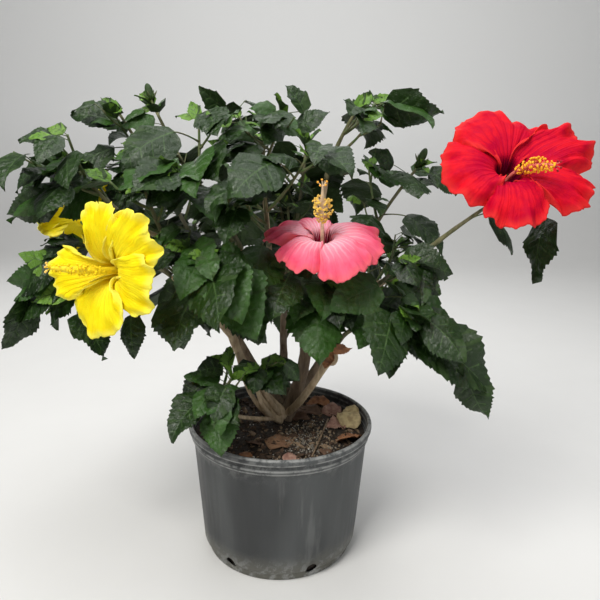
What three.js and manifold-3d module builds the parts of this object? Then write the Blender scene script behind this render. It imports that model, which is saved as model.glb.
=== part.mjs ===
// A Chinese hibiscus shrub in a squat black nursery pot, with three large blooms at the front and
// one behind. Millimetres, +Z up. The origin is the middle of the pot's flat underside, and the
// shrub is seen best along +Y.
//
// The shrub is grown, not drawn: limbs rise from the root crown, each foliage mass grows from a limb
// by a seeded rule, and a leaf that would crowd another mass, a limb or a bloom is turned or left out.
import * as THREE from "three";
import { mergeVertices } from "three/addons/utils/BufferGeometryUtils.js";
import Module from "manifold-3d";

const wasm = await Module();
wasm.setup();

// Pot
const POT_HEIGHT = 186;
const RIM_RADIUS = 127; // outside of the rolled lip
const FOOT_RADIUS = 107; // outside of the wall where it turns in to the foot
const WALL = 2.4;
const LIP_DROP = 9; // height of the rolled lip
const LIP_OVERHANG = 3.2;
const BAND_DROP = 24; // from the top down to the stacking step
const BAND_STEP = 1.8;
const FOOT_HEIGHT = 15;
const FOOT_INSET = 6;
const POT_SIDES = 36;
const DRAIN_HOLES = 6;
const DRAIN_RADIUS = 9;
const FIRST_DRAIN = -65; // degrees from +X, the middle of a facet

// Soil
const SOIL_LEVEL = 169; // where it meets the wall
const MOUND = 5; // how much higher it stands round the root crown
const MOUND_RADIUS = 62;
const GAP = 0.3; // between pieces that touch

// Root crown: where the stems leave the soil
const CROWN = new THREE.Vector3(6, 24, SOIL_LEVEL + MOUND + GAP);

// Growth
const GOLDEN_ANGLE = 2.39996;
const LEAF_SPACING = 24; // along a shoot
const BACK_SPACING = 28;
const PETIOLE = 0.42; // of the blade's length
const LEAF_WIDTH = 0.78; // of the blade's length
const LEAF_CLEARANCE = 0.15; // of the blade's length, to the leaves that already stand
const LIMB_CLEARANCE = 7;
const SPACE_SLACK = 32; // how far a leaf may reach past the middle between two masses
const LIGHT = new THREE.Vector3(0, -1, 0);
const LEAF_PULL = 0.35; // of the light on the way that the front leaves lean
const LIGHT_PULL = 1; // and on the way that they face
const TRIES = 9; // turns that a leaf gets before it is left out

// Limbs: foot, bend and tip of a quadratic curve, and the radius at both ends. The foot lies inside
// the parent.
const LIMBS = [
  {
    name: "trunk", parent: null,
    foot: CROWN.toArray(), bend: [44, 22, 262], tip: [32, 8, 352], radii: [15, 8.5],
  },
  {
    name: "bough_right", parent: "trunk",
    foot: [8, 20, 182], bend: [34, -14, 214], tip: [74, -22, 300], radii: [8, 6.5],
  },
  {
    name: "bough_left", parent: "trunk",
    foot: [4, 20, 180], bend: [-50, -8, 242], tip: [-66, -22, 318], radii: [8.5, 6],
  },
  {
    name: "bough_low_centre", parent: "trunk",
    foot: [2, 18, 178], bend: [-20, -8, 212], tip: [-31, -38, 264], radii: [5, 3.4],
  },
  {
    name: "bough_sprig", parent: "trunk",
    foot: [4, 14, 179], bend: [-24, -30, 190], tip: [-72, -72, 222], radii: [4.2, 2.8],
  },
  {
    name: "bough_back_left", parent: "trunk",
    foot: [3, 29, 186], bend: [-62, 52, 260], tip: [-116, 76, 388], radii: [8, 4.6],
  },
  {
    name: "bough_back", parent: "trunk",
    foot: [10, 32, 192], bend: [-6, 92, 262], tip: [4, 104, 372], radii: [7.5, 4.8],
  },
  {
    name: "bough_back_right", parent: "trunk",
    foot: [14, 28, 200], bend: [84, 60, 270], tip: [104, 72, 380], radii: [7.5, 4.6],
  },
  {
    name: "bough_left_rise", parent: "trunk",
    foot: [35, 14, 322], bend: [-30, 0, 372], tip: [-52, -14, 424], radii: [6, 4],
  },
  {
    name: "bough_centre_rise", parent: "bough_left_rise",
    foot: [-16, 2, 378], bend: [-16, 14, 420], tip: [-24, 12, 486], radii: [4.4, 3.4],
  },
  {
    name: "bough_right_rise", parent: "trunk",
    foot: [36, 14, 330], bend: [44, 34, 420], tip: [56, 22, 512], radii: [6, 3.8],
  },
  {
    name: "bough_red", parent: "trunk",
    foot: [34, 12, 342], bend: [124, -24, 368], tip: [176, -52, 430], radii: [6, 3.8],
  },
  {
    name: "bough_far_left", parent: "bough_left",
    foot: [-62, -18, 300], bend: [-104, -6, 408], tip: [-192, -22, 462], radii: [5.4, 3.6],
  },
  {
    name: "bough_low_left", parent: "bough_left",
    foot: [-65, -21, 309], bend: [-88, -58, 352], tip: [-134, -56, 396], radii: [4.6, 3.4],
  },
];

// The pruned knob that swells the right bough near its tip, with the stub of the cut limb.
const KNOB = {
  limb: "bough_right", at: 0.9, length: 30, radius: 11,
  stub: 7.5, stubLength: 26, stubFrom: [-6, -2, 12],
};

// The trunk's foot widens below its lowest ring.
const FOOT_FLARE = 1.25;
const FOOT_LENGTH = 12;

// Foliage masses: the limb that carries each, its leader's tip, its side shoots, the blade length of
// its grown leaves, how strongly they hang, and the seed of its rule. Where the leader leaves the
// limb's side, root is the share of the limb. Where its leaves start late, leafFrom is the share of
// the leader. The masses that show most grow first.
const MASSES = [
  {
    name: "foliage_top_right", limb: "bough_right_rise", tip: [92, 11, 600],
    shoots: 2, blade: 96, droop: 0.35, seed: 11, leafFrom: 0.45,
  },
  {
    name: "foliage_far_left", limb: "bough_far_left", tip: [-257, -25, 527],
    shoots: 3, blade: 76, droop: 0.7, seed: 26,
  },
  {
    name: "foliage_left_centre", limb: "bough_left", tip: [-108, -78, 434],
    shoots: 4, blade: 98, droop: 0.8, seed: 7,
  },
  {
    name: "foliage_right_low", limb: "bough_right", tip: [160, -86, 355],
    shoots: 2, blade: 100, droop: 0.9, seed: 52, leafFrom: 0.5,
  },
  {
    name: "foliage_red_spray", limb: "bough_red", tip: [238, -87, 491],
    shoots: 0, blade: 80, droop: 1.1, seed: 26, leafFrom: 0.72,
  },
  {
    name: "foliage_centre_front", limb: "trunk", tip: [52, -58, 394],
    shoots: 3, blade: 92, droop: 0.6, seed: 31,
  },
  {
    name: "foliage_low_left", limb: "bough_low_left", tip: [-264, -48, 362],
    shoots: 4, blade: 88, droop: 1.1, seed: 37,
  },
  {
    name: "foliage_sprig", limb: "bough_sprig", tip: [-57, -91, 277],
    shoots: 2, blade: 64, droop: 0.9, seed: 49,
  },
  {
    name: "foliage_low_centre", limb: "bough_low_centre", tip: [-30, -64, 278],
    shoots: 1, blade: 70, droop: 0.7, seed: 6,
  },
  {
    name: "foliage_left_inner", limb: "bough_far_left", root: 0.7, tip: [-158, -72, 500],
    shoots: 3, blade: 88, droop: 0.7, seed: 35,
  },
  {
    name: "foliage_upper_left", limb: "bough_left_rise", tip: [-122, -59, 541],
    shoots: 3, blade: 94, droop: 0.5, seed: 8,
  },
  {
    name: "foliage_centre", limb: "bough_centre_rise", root: 0.5, tip: [-18, -78, 500],
    shoots: 3, blade: 94, droop: 0.6, seed: 33,
  },
  {
    name: "foliage_top_centre", limb: "bough_centre_rise", tip: [-24, 11, 577],
    shoots: 3, blade: 92, droop: 0.4, seed: 3,
  },
  {
    name: "foliage_bud_spray", limb: "bough_left_rise", root: 0.8, tip: [-172, 44, 603],
    shoots: 1, blade: 76, droop: 0.3, seed: 41,
  },
  {
    name: "foliage_right_mid", limb: "bough_red", root: 0.5, tip: [140, -66, 414],
    shoots: 1, blade: 92, droop: 0.8, seed: 13, leafFrom: 0.4,
  },
  {
    name: "foliage_right_upper", limb: "bough_back_right", tip: [176, 36, 528],
    shoots: 1, blade: 84, droop: 0.5, seed: 53, leafFrom: 0.5,
  },
  {
    name: "foliage_top_left", limb: "bough_back_left", tip: [-222, 58, 594],
    shoots: 3, blade: 84, droop: 0.4, seed: 25,
  },
  {
    name: "foliage_back_left", back: true, limb: "bough_back_left", root: 0.7, tip: [-199, 132, 450],
    shoots: 3, blade: 88, droop: 0.8, seed: 10,
  },
  {
    name: "foliage_back_centre", back: true, limb: "bough_back", tip: [-16, 176, 484],
    shoots: 4, blade: 90, droop: 0.8, seed: 21,
  },
  {
    name: "foliage_back_right", back: true, limb: "bough_back_right", root: 0.6, tip: [164, 144, 388],
    shoots: 3, blade: 88, droop: 0.8, seed: 37,
  },
  {
    name: "foliage_back_top", back: true, limb: "bough_back", root: 0.8, tip: [30, 96, 556],
    shoots: 3, blade: 86, droop: 0.5, seed: 23,
  },
  {
    name: "foliage_back_low", back: true, limb: "bough_back", root: 0.5, tip: [34, 178, 330],
    shoots: 2, blade: 86, droop: 0.9, seed: 27,
  },
];

// Blooms: the mass that carries each, the middle of its throat, the way it faces, the reach of its
// petals, how far their tips rise above the throat, how far they belly out, and the length and lean
// of the column. Where its petals differ, each has its own turn and share of the reach.
const BLOOMS = [
  {
    name: "bloom_red", mass: "foliage_red_spray", colour: 0xd81b24,
    throat: [242, -130, 525], faces: [0.02, -0.7, 0.71], turn: 0.5,
    reach: 100, lift: 16, belly: 13, column: 64, lean: [0.93, -0.31, -1.02],
    petals: [[0.56, 1], [1.7, 0.9], [3.04, 0.78], [4.5, 0.78], [5.64, 0.82]],
  },
  {
    name: "bloom_pink", mass: "foliage_centre_front", colour: 0xe8486c,
    throat: [49, -92, 448], faces: [-0.05, -0.44, 0.89], turn: 0.3,
    reach: 76, lift: -4, belly: 13, column: 76, lean: [0.02, -0.3, 0.03],
  },
  {
    name: "bloom_yellow", mass: "foliage_low_left", root: 0.3, colour: 0xf6d312,
    throat: [-186, -112, 413], faces: [-0.48, -0.87, 0.1], turn: 0.9,
    reach: 78, lift: 34, belly: 10, column: 72, lean: [-0.65, 0.35, 0.13],
  },
  {
    name: "bloom_yellow_back", mass: "foliage_back_left", coarse: true, colour: 0xf6d312,
    throat: [-288, 92, 448], faces: [-0.62, 0.7, 0.35], turn: 0.2,
    reach: 66, lift: 16, belly: 10, column: 62, lean: [0, 0, 0.2],
  },
];
const PETALS = 5;
const PETAL_THICKNESS = 1.3;
const THROAT_RADIUS = 6;
const TUBE_DEPTH = 16; // from the throat down to the calyx
const CALYX_LENGTH = 24;
const CALYX_RADIUS = 8.5;
const PEDICEL_RADIUS = 2;
const COLUMN_RADII = [3.2, 2.4, 2, 5.5, 4.5, 1.6];

const UP = new THREE.Vector3(0, 0, 1);
const vec = (p) => new THREE.Vector3(...p);
const mix = (a, b, t) => a.clone().lerp(b, t);

// A seeded source of numbers from 0 to 1, the same on every run.
function dice(seed) {
  let state = Math.imul(seed, 0x9e3779b9) >>> 0;
  return () => {
    state = (state + 0x6d2b79f5) >>> 0;
    let t = state;
    t = Math.imul(t ^ (t >>> 15), t | 1);
    t ^= t + Math.imul(t ^ (t >>> 7), t | 61);
    return ((t ^ (t >>> 14)) >>> 0) / 4294967296;
  };
}

// The solid of a closed geometry.
function solidOf(geometry) {
  const bare = geometry.clone();
  bare.deleteAttribute("normal");
  bare.deleteAttribute("uv");
  const merged = mergeVertices(bare, 1e-4);
  return new wasm.Manifold(
    new wasm.Mesh({
      numProp: 3,
      vertProperties: new Float32Array(merged.attributes.position.array),
      triVerts: new Uint32Array(merged.index.array),
    }),
  );
}

// The geometry of a list of points and a list of triangles.
function geometryOf(points, triangles) {
  const positions = new Float32Array(points.flatMap((p) => p.toArray()));
  return new THREE.BufferGeometry()
    .setAttribute("position", new THREE.BufferAttribute(positions, 3))
    .setIndex(triangles.flat());
}

// The largest body of a solid, so that a loose scrap is dropped and a sealed hollow is filled.
function largest(solid) {
  return solid.decompose().reduce((best, body) => (body.volume() > best.volume() ? body : best));
}

// The geometry of a finished solid.
function meshGeometry(solid) {
  const mesh = solid.getMesh();
  const positions = new Float32Array(mesh.numVert * 3);
  for (let i = 0; i < mesh.numVert; i++) {
    positions.set(mesh.vertProperties.subarray(i * mesh.numProp, i * mesh.numProp + 3), i * 3);
  }
  const geometry = new THREE.BufferGeometry()
    .setAttribute("position", new THREE.BufferAttribute(positions, 3))
    .setIndex(new THREE.BufferAttribute(mesh.triVerts, 1));
  geometry.computeVertexNormals();
  return geometry;
}

// A tapering tube with flat ends through the points of a path, and the radius at each point.
function taperedTube(path, radii, sides) {
  const points = [];
  const triangles = [];
  const last = path.length - 1;
  let side = null;
  path.forEach((at, i) => {
    const along = path[Math.min(i + 1, last)].clone().sub(path[Math.max(i - 1, 0)]).normalize();
    side = side ?? (Math.abs(along.z) > 0.9 ? new THREE.Vector3(1, 0, 0) : UP.clone());
    side = side.clone().addScaledVector(along, -side.dot(along)).normalize();
    const other = along.clone().cross(side);
    for (let k = 0; k < sides; k++) {
      const angle = (k / sides) * 2 * Math.PI;
      points.push(
        at.clone()
          .addScaledVector(side, radii[i] * Math.cos(angle))
          .addScaledVector(other, radii[i] * Math.sin(angle)),
      );
    }
  });
  for (let i = 0; i < last; i++) {
    for (let k = 0; k < sides; k++) {
      const a = i * sides + k;
      const b = i * sides + ((k + 1) % sides);
      triangles.push([a, b, b + sides], [a, b + sides, a + sides]);
    }
  }
  for (let k = 1; k < sides - 1; k++) {
    triangles.push([0, k + 1, k], [last * sides, last * sides + k, last * sides + k + 1]);
  }
  return geometryOf(points, triangles);
}

const bezier = (a, b, c, t) => mix(mix(a, b, t), mix(b, c, t), t);

// Points along a quadratic curve.
function curvePoints(foot, bend, tip, steps) {
  return Array.from({ length: steps + 1 }, (_, i) => bezier(foot, bend, tip, i / steps));
}

// How far a point lies from the path, less the path's own radius there.
function clearOfPath(point, path, radii) {
  let best = Infinity;
  const segment = new THREE.Line3();
  const nearest = new THREE.Vector3();
  for (let i = 0; i + 1 < path.length; i++) {
    segment.set(path[i], path[i + 1]);
    const t = segment.closestPointToPointParameter(point, true);
    segment.at(t, nearest);
    best = Math.min(best, nearest.distanceTo(point) - radii[i] - (radii[i + 1] - radii[i]) * t);
  }
  return best;
}

// Pot

function potWallRadius(z) {
  const share = THREE.MathUtils.clamp((z - FOOT_HEIGHT) / (POT_HEIGHT - FOOT_HEIGHT), 0, 1);
  return FOOT_RADIUS + (RIM_RADIUS - LIP_OVERHANG - BAND_STEP - FOOT_RADIUS) * share;
}

function potSolid() {
  const bandZ = POT_HEIGHT - BAND_DROP;
  const lipZ = POT_HEIGHT - LIP_DROP;
  const footRadius = FOOT_RADIUS - FOOT_INSET;
  const outline = [
    [0, 0],
    [footRadius, 0],
    [footRadius, FOOT_HEIGHT - 5],
    [potWallRadius(FOOT_HEIGHT), FOOT_HEIGHT],
    [potWallRadius(bandZ), bandZ],
    [potWallRadius(bandZ + 2) + BAND_STEP, bandZ + 2],
    [potWallRadius(lipZ) + BAND_STEP, lipZ],
    [RIM_RADIUS, lipZ + 1.5],
    [RIM_RADIUS, POT_HEIGHT - 1.5],
    [RIM_RADIUS - 1.5, POT_HEIGHT],
    [RIM_RADIUS - LIP_OVERHANG - WALL, POT_HEIGHT],
    [potWallRadius(lipZ) + BAND_STEP - WALL, lipZ],
    [potWallRadius(FOOT_HEIGHT) - WALL, FOOT_HEIGHT],
    [footRadius - WALL, WALL],
    [0, WALL],
  ].map(([r, z]) => new THREE.Vector2(r, z));
  let pot = solidOf(stoodUp(new THREE.LatheGeometry(outline, POT_SIDES)));
  for (let i = 0; i < DRAIN_HOLES; i++) {
    const angle = THREE.MathUtils.degToRad(FIRST_DRAIN) + (i / DRAIN_HOLES) * 2 * Math.PI;
    const drill = new THREE.CylinderGeometry(DRAIN_RADIUS, DRAIN_RADIUS, 16, 6)
      .rotateZ(Math.PI / 2)
      .translate(FOOT_RADIUS - 3, 0, FOOT_HEIGHT - 0.5)
      .rotateZ(angle);
    pot = pot.subtract(solidOf(drill));
  }
  return pot;
}

// A lathe turns about Y, so it is stood up on Z.
function stoodUp(geometry) {
  return geometry.rotateX(Math.PI / 2);
}

// The potting mix fills the pot to below the rim and is a little higher round the root crown.
function soilSolid() {
  const inner = potWallRadius(FOOT_HEIGHT) - WALL - GAP;
  const footInner = FOOT_RADIUS - FOOT_INSET - WALL - GAP;
  const outline = [
    [0, WALL + GAP],
    [footInner - 1, WALL + GAP],
    [inner - 1, FOOT_HEIGHT + 0.5],
    [potWallRadius(SOIL_LEVEL) - WALL - GAP, SOIL_LEVEL],
    [MOUND_RADIUS, SOIL_LEVEL + MOUND],
    [0, SOIL_LEVEL + MOUND],
  ].map(([r, z]) => new THREE.Vector2(r, z));
  return solidOf(stoodUp(new THREE.LatheGeometry(outline, POT_SIDES)));
}

// Limbs

const LIMB_STEPS = 4;
const FLARE = 0.55; // how much wider the trunk is at the soil
const FLARE_LENGTH = 0.22; // share of the trunk that flares

// The path and radii of a limb. A grown one, for cutting clear, is wider all round.
function limbLine(limb, grown = 0) {
  const path = curvePoints(vec(limb.foot), vec(limb.bend), vec(limb.tip), LIMB_STEPS);
  const radii = path.map((_, i) => {
    const t = i / LIMB_STEPS;
    const flare = limb.parent ? 0 : FLARE * Math.max(0, 1 - t / FLARE_LENGTH) ** 2;
    return (limb.radii[0] + (limb.radii[1] - limb.radii[0]) * t) * (1 + flare) + grown;
  });
  return { path, radii };
}

// A limb's solid, or its space when it is grown by a gap.
function limbSolid(limb, grown) {
  const { path, radii } = limbLine(limb, grown);
  const solid = solidOf(taperedTube(path, radii, limb.parent ? 6 : 8));
  if (!limb.parent) return cutAtSoil(solid, limb, radii[0]);
  return limb.name === KNOB.limb ? addKnob(solid, limb, grown) : solid;
}

// The trunk gets a flared foot with a flat cut at the soil.
function cutAtSoil(solid, limb, radius) {
  const [x, y] = limb.foot;
  const below = new THREE.BoxGeometry(200, 200, 60).translate(x, y, CROWN.z - 30);
  const base = new THREE.CylinderGeometry(radius, radius * FOOT_FLARE, FOOT_LENGTH, 8)
    .rotateX(Math.PI / 2)
    .translate(x, y, CROWN.z + 2);
  return solid.add(solidOf(base)).subtract(solidOf(below));
}

// The swelling round a pruned tip, with the stub of the cut limb beside it.
function addKnob(solid, limb, grown) {
  const at = bezier(vec(limb.foot), vec(limb.bend), vec(limb.tip), KNOB.at);
  const knob = new THREE.SphereGeometry(KNOB.radius + grown, 7, 5)
    .scale(1, 0.9, KNOB.length / (2 * KNOB.radius))
    .translate(...at.toArray());
  const stub = new THREE.CylinderGeometry(KNOB.stub * 0.8 + grown, KNOB.stub + grown, KNOB.stubLength, 6)
    .rotateX(Math.PI / 2)
    .rotateY(-0.5)
    .translate(...at.clone().add(vec(KNOB.stubFrom)).toArray());
  return solid.add(solidOf(knob)).add(solidOf(stub));
}

// Leaves

// A blade's midrib runs from the petiole along its first heading and bends towards its last one.
function bladeStations(leaf, shares) {
  const stations = [{ at: leaf.base.clone(), along: leaf.heading.clone() }];
  for (let i = 1; i < shares.length; i++) {
    const middle = (shares[i] + shares[i - 1]) / 2;
    const along = mix(leaf.heading, leaf.ending, middle).normalize();
    const at = stations[i - 1].at.clone().addScaledVector(along, leaf.length * (shares[i] - shares[i - 1]));
    stations.push({ at, along });
  }
  return stations;
}

// Shares of a blade's length and its half width there, of the blade's width.
const BLADE_SHARES = [0, 0.34, 0.68, 1];
const BLADE_HALVES = [0.035, 0.5, 0.37, 0];
const FOLD = 0.12; // how far the sides fall below the midrib, per unit of half width
const LEAST_FALL = 1.2;

// One closed leaf: a three-sided petiole, drawn to a point where it is sunk in its shoot, opens into a
// thin blade with a ridge along its midrib and a flat underside. After the foot come the left, ridge
// and right of each station, then the tip.
function leafSolid(leaf) {
  const stations = bladeStations(leaf, BLADE_SHARES);
  const points = [sunkFoot(leaf)];
  const triangles = [[0, 2, 1], [0, 3, 2], [0, 1, 3]];
  const last = stations.length - 1;
  stations.slice(0, last).forEach((s, i) => {
    const half = leaf.length * LEAF_WIDTH * BLADE_HALVES[i];
    const fall = leaf.side.clone().cross(s.along).normalize();
    fall.multiplyScalar(-Math.max(FOLD * half, LEAST_FALL));
    points.push(
      s.at.clone().addScaledVector(leaf.side, -half).add(fall),
      s.at.clone(),
      s.at.clone().addScaledVector(leaf.side, half).add(fall),
    );
    if (i === 0) return;
    const [a, b, c, d, e, f] = [-2, -1, 0, 1, 2, 3].map((k) => i * 3 + k);
    triangles.push([a, b, e], [a, e, d], [b, c, f], [b, f, e], [a, d, f], [a, f, c]);
  });
  const [d, e, f] = [-2, -1, 0].map((k) => last * 3 + k);
  points.push(stations[last].at);
  triangles.push([d, e, f + 1], [e, f, f + 1], [d, f + 1, f]);
  return solidOf(geometryOf(points, triangles));
}

// A leaf's foot, a little past the middle of its shoot.
function sunkFoot(leaf) {
  return leaf.root.clone().addScaledVector(leaf.base.clone().sub(leaf.root), -0.05);
}

// A leaf of eight faces that narrows straight into its shoot: the young leaves, and those at the back.
function plainLeafSolid(leaf, widest, halfWidth) {
  const [, middle, tip] = bladeStations(leaf, [0, widest, 1]);
  const half = leaf.length * halfWidth;
  const normal = leaf.side.clone().cross(middle.along).normalize();
  const points = [
    sunkFoot(leaf),
    middle.at.clone().addScaledVector(leaf.side, -half),
    middle.at.clone().addScaledVector(leaf.side, half),
    tip.at,
    middle.at.clone().addScaledVector(normal, 1 + 0.05 * half),
    middle.at.clone().addScaledVector(normal, -1),
  ];
  const upper = [[0, 4, 1], [0, 2, 4], [1, 4, 3], [4, 2, 3]];
  const under = [[0, 1, 5], [0, 5, 2], [1, 3, 5], [5, 3, 2]];
  const triangles = [...upper, ...under];
  return solidOf(geometryOf(points, triangles));
}

// The points of a blade that are kept clear of other leaves, limbs and blooms.
function leafMarks(leaf) {
  const [foot, wide, narrow, tip] = bladeStations(leaf, BLADE_SHARES).map((s) => s.at);
  const half = leaf.length * LEAF_WIDTH * 0.42;
  return [
    mix(foot, wide, 0.4),
    wide,
    wide.clone().addScaledVector(leaf.side, half),
    wide.clone().addScaledVector(leaf.side, -half),
    narrow,
    tip,
  ];
}

// Growth rule

// What a stalk blends: its turn about the shoot, the shoot's heading, the way out and up.
// Then it levels off.
const STALK = { turned: 0.95, onward: 0.45, outward: 0.6, up: 0.15, level: 0.8 };
// A blade's slope: its stalk's share, then how far it falls at once and at its tip, with and
// without its droop.
const SLOPE = { stalk: 0.35, fall: 0.1, droop: 0.5, lastFall: 0.25, lastDroop: 0.7 };
// What a face turns to: the way out and up, and at the back once more the way out. It stays partly level.
const FACE = { outward: 0.5, up: 0.8, back: 0.4, level: 0.25 };

function outwardAt(at) {
  return new THREE.Vector3(at.x - CROWN.x, at.y - CROWN.y, 0).normalize();
}

// The way that leaves lean at a point: out of the crown, and at the front a little towards the light.
function leanAt(at, mass) {
  const out = outwardAt(at);
  return mass.back ? out : out.addScaledVector(LIGHT, LEAF_PULL).normalize();
}

// The way that leaves turn their faces at a point: out and up, and at the front towards the light.
function faceAt(at, mass) {
  const out = outwardAt(at);
  const face = out.clone().multiplyScalar(FACE.outward).addScaledVector(UP, FACE.up);
  if (mass.back) face.addScaledVector(out, FACE.back);
  else face.addScaledVector(LIGHT, LIGHT_PULL);
  return face.normalize();
}

// A leaf of the given size at a point of a shoot. It leaves the shoot by its turn about it, leans
// outward, hangs by its droop and turns its face to the light.
function placeLeaf(shoot, mass, turn, { length, droop, roll, stalkShare }) {
  const { at, heading: onward } = shoot;
  const outward = leanAt(at, mass);
  const steep = Math.abs(onward.z) > 0.95;
  const across = steep ? new THREE.Vector3(1, 0, 0) : UP.clone().cross(onward).normalize();
  const other = onward.clone().cross(across).normalize();
  const radial = across.clone().multiplyScalar(Math.cos(turn)).addScaledVector(other, Math.sin(turn));
  const stalk = radial.clone().multiplyScalar(STALK.turned)
    .addScaledVector(onward, STALK.onward)
    .addScaledVector(outward, STALK.outward)
    .addScaledVector(UP, STALK.up)
    .normalize();
  const flat = new THREE.Vector3(stalk.x, stalk.y, 0);
  const level = flat.length() > 0.05 ? flat.normalize() : outward;
  stalk.addScaledVector(level, STALK.level * Math.abs(stalk.z)).normalize();
  const slope = SLOPE.stalk * stalk.z - SLOPE.fall - SLOPE.droop * droop;
  const heading = level.clone().addScaledVector(UP, slope).normalize();
  const ending = heading.clone().addScaledVector(UP, -SLOPE.lastFall - SLOPE.lastDroop * droop).normalize();
  const side = heading.clone().cross(faceAt(at, mass))
    .addScaledVector(level.clone().cross(UP), FACE.level)
    .normalize()
    .applyAxisAngle(heading, roll);
  side.addScaledVector(heading, -side.dot(heading)).normalize();
  const base = at.clone().addScaledVector(stalk, length * stalkShare);
  return { root: at.clone(), base, heading, ending, side, length };
}

// A point of a curve at a share of its length, and its heading there.
function along(curve, share) {
  const [foot, bend, tip] = [curve.foot, curve.bend, curve.tip];
  const ahead = bezier(foot, bend, tip, Math.min(share + 0.05, 1));
  const heading = ahead.sub(bezier(foot, bend, tip, Math.max(share - 0.05, 0))).normalize();
  return { at: bezier(foot, bend, tip, share), heading };
}

// How far a leader sags that leaves a limb's side, and runs straight on from a limb's tip, of its reach.
const SAG = 0.12;
const RUN_ON = 0.35;

// The curve of a mass's leader. It goes on from its limb's tip, or leaves the limb's side at a
// share of its length.
function leader(mass) {
  const limb = LIMBS.find((l) => l.name === mass.limb);
  const curve = { foot: vec(limb.foot), bend: vec(limb.bend), tip: vec(limb.tip) };
  const { at, heading } = along(curve, mass.root ?? 1);
  const tip = vec(mass.tip);
  const reach = tip.distanceTo(at);
  if (mass.root) {
    const bend = mix(at, tip, 0.5).addScaledVector(UP, -SAG * reach);
    return { foot: at, bend, tip, reach };
  }
  const foot = at.addScaledVector(heading, GAP);
  return { foot, bend: foot.clone().addScaledVector(heading, reach * RUN_ON), tip, reach };
}

const limbLines = LIMBS.map((l) => ({ ...limbLine(l), name: l.name }));
const leaders = MASSES.map((m) => ({ mass: m, ...leader(m) }));

// How much nearer a point is to another mass's leader than to its own.
function trespass(point, mass) {
  const distance = (l) => clearOfPath(point, curvePoints(l.foot, l.bend, l.tip, 3), [0, 0, 0, 0]);
  const own = distance(leaders.find((l) => l.mass === mass));
  return Math.max(...leaders.filter((l) => l.mass !== mass).map((l) => own - distance(l)));
}

const BLOOM_SPACE = { beside: 6, below: 16, above: 46, column: 24, stalk: 14 };

// A bloom's space: a flat round body round its petals, and the line of its stalk.
function bloomSpace(bloom) {
  const throat = vec(bloom.throat);
  const faces = vec(bloom.faces).normalize();
  const foot = throat.clone().addScaledVector(faces, -TUBE_DEPTH - CALYX_LENGTH);
  return { throat, faces, foot, reach: bloom.reach };
}

function insideBloom(point, space) {
  const from = point.clone().sub(space.throat);
  const height = from.dot(space.faces);
  const radius = Math.sqrt(Math.max(0, from.lengthSq() - height * height));
  const low = -BLOOM_SPACE.below - 0.1 * space.reach;
  const beside = radius < space.reach + BLOOM_SPACE.beside;
  const nearPetals = beside && height > low && height < BLOOM_SPACE.above;
  const nearColumn = radius < BLOOM_SPACE.column && height > 0 && height < space.reach + 16;
  const nearStalk = clearOfPath(point, [space.foot, space.throat], [0, 0]) < BLOOM_SPACE.stalk;
  return nearPetals || nearColumn || nearStalk;
}

const spaces = BLOOMS.map(bloomSpace);
const standingMarks = [];

// Whether a leaf keeps to its mass's space and clear of what already stands.
function fits(marks, mass, length) {
  const crowd = length * LEAF_CLEARANCE;
  for (const mark of marks) {
    if (mark.z < POT_HEIGHT + 4 && Math.hypot(mark.x, mark.y) < RIM_RADIUS + 6) return false;
    if (trespass(mark, mass) > SPACE_SLACK) return false;
    if (spaces.some((space) => insideBloom(mark, space))) return false;
    if (limbLines.some((line) => clearOfPath(mark, line.path, line.radii) < LIMB_CLEARANCE)) return false;
    if (standingMarks.some((other) => other.distanceTo(mark) < crowd)) return false;
  }
  return true;
}

// Side shoots leave the leader from a quarter of its length on.
const FIRST_SHOOT = 0.25;
const SHOOT_STRETCH = 0.6;
const LEADER = { radii: [3.4, 1.9], leader: true };
const SHOOT_REACH = { least: 0.5, more: 0.3, longest: 110 }; // of the leader's reach, and in all

// The shoots of a mass: its leader, and side shoots that leave it by turns and rise towards the light.
function shootsOf(mass, roll) {
  const main = leaders.find((l) => l.mass === mass);
  const { foot, bend, tip, reach } = main;
  const shoots = [{ foot, bend, tip, reach, ...LEADER, leafFrom: mass.leafFrom ?? 0.3 }];
  for (let i = 0; i < mass.shoots; i++) {
    const share = FIRST_SHOOT + (SHOOT_STRETCH * (i + 0.5)) / mass.shoots;
    const { at, heading } = along(main, share);
    const turn = i * GOLDEN_ANGLE + mass.seed + roll() * 0.8;
    const length = (SHOOT_REACH.least + SHOOT_REACH.more * roll()) * Math.min(reach, SHOOT_REACH.longest);
    const lean = new THREE.Vector3(Math.cos(turn), Math.sin(turn), 0)
      .addScaledVector(outwardAt(at), 0.6)
      .addScaledVector(heading, 0.55)
      .addScaledVector(UP, 0.15)
      .normalize();
    const middle = at.clone().addScaledVector(lean, length * 0.5);
    const rising = lean.clone().addScaledVector(UP, 0.7).normalize();
    const end = middle.clone().addScaledVector(rising, length * 0.55);
    shoots.push({ foot: at, bend: middle, tip: end, reach: length, radii: [2.2, 1.4], leafFrom: 0.35 });
  }
  return shoots;
}

// Solids that stand already, for the exact test that no two masses meet.
const standing = [];
const meets = (solid, others) => others.some((other) => solid.minGap(other, 2 * GAP) < GAP);

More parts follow.
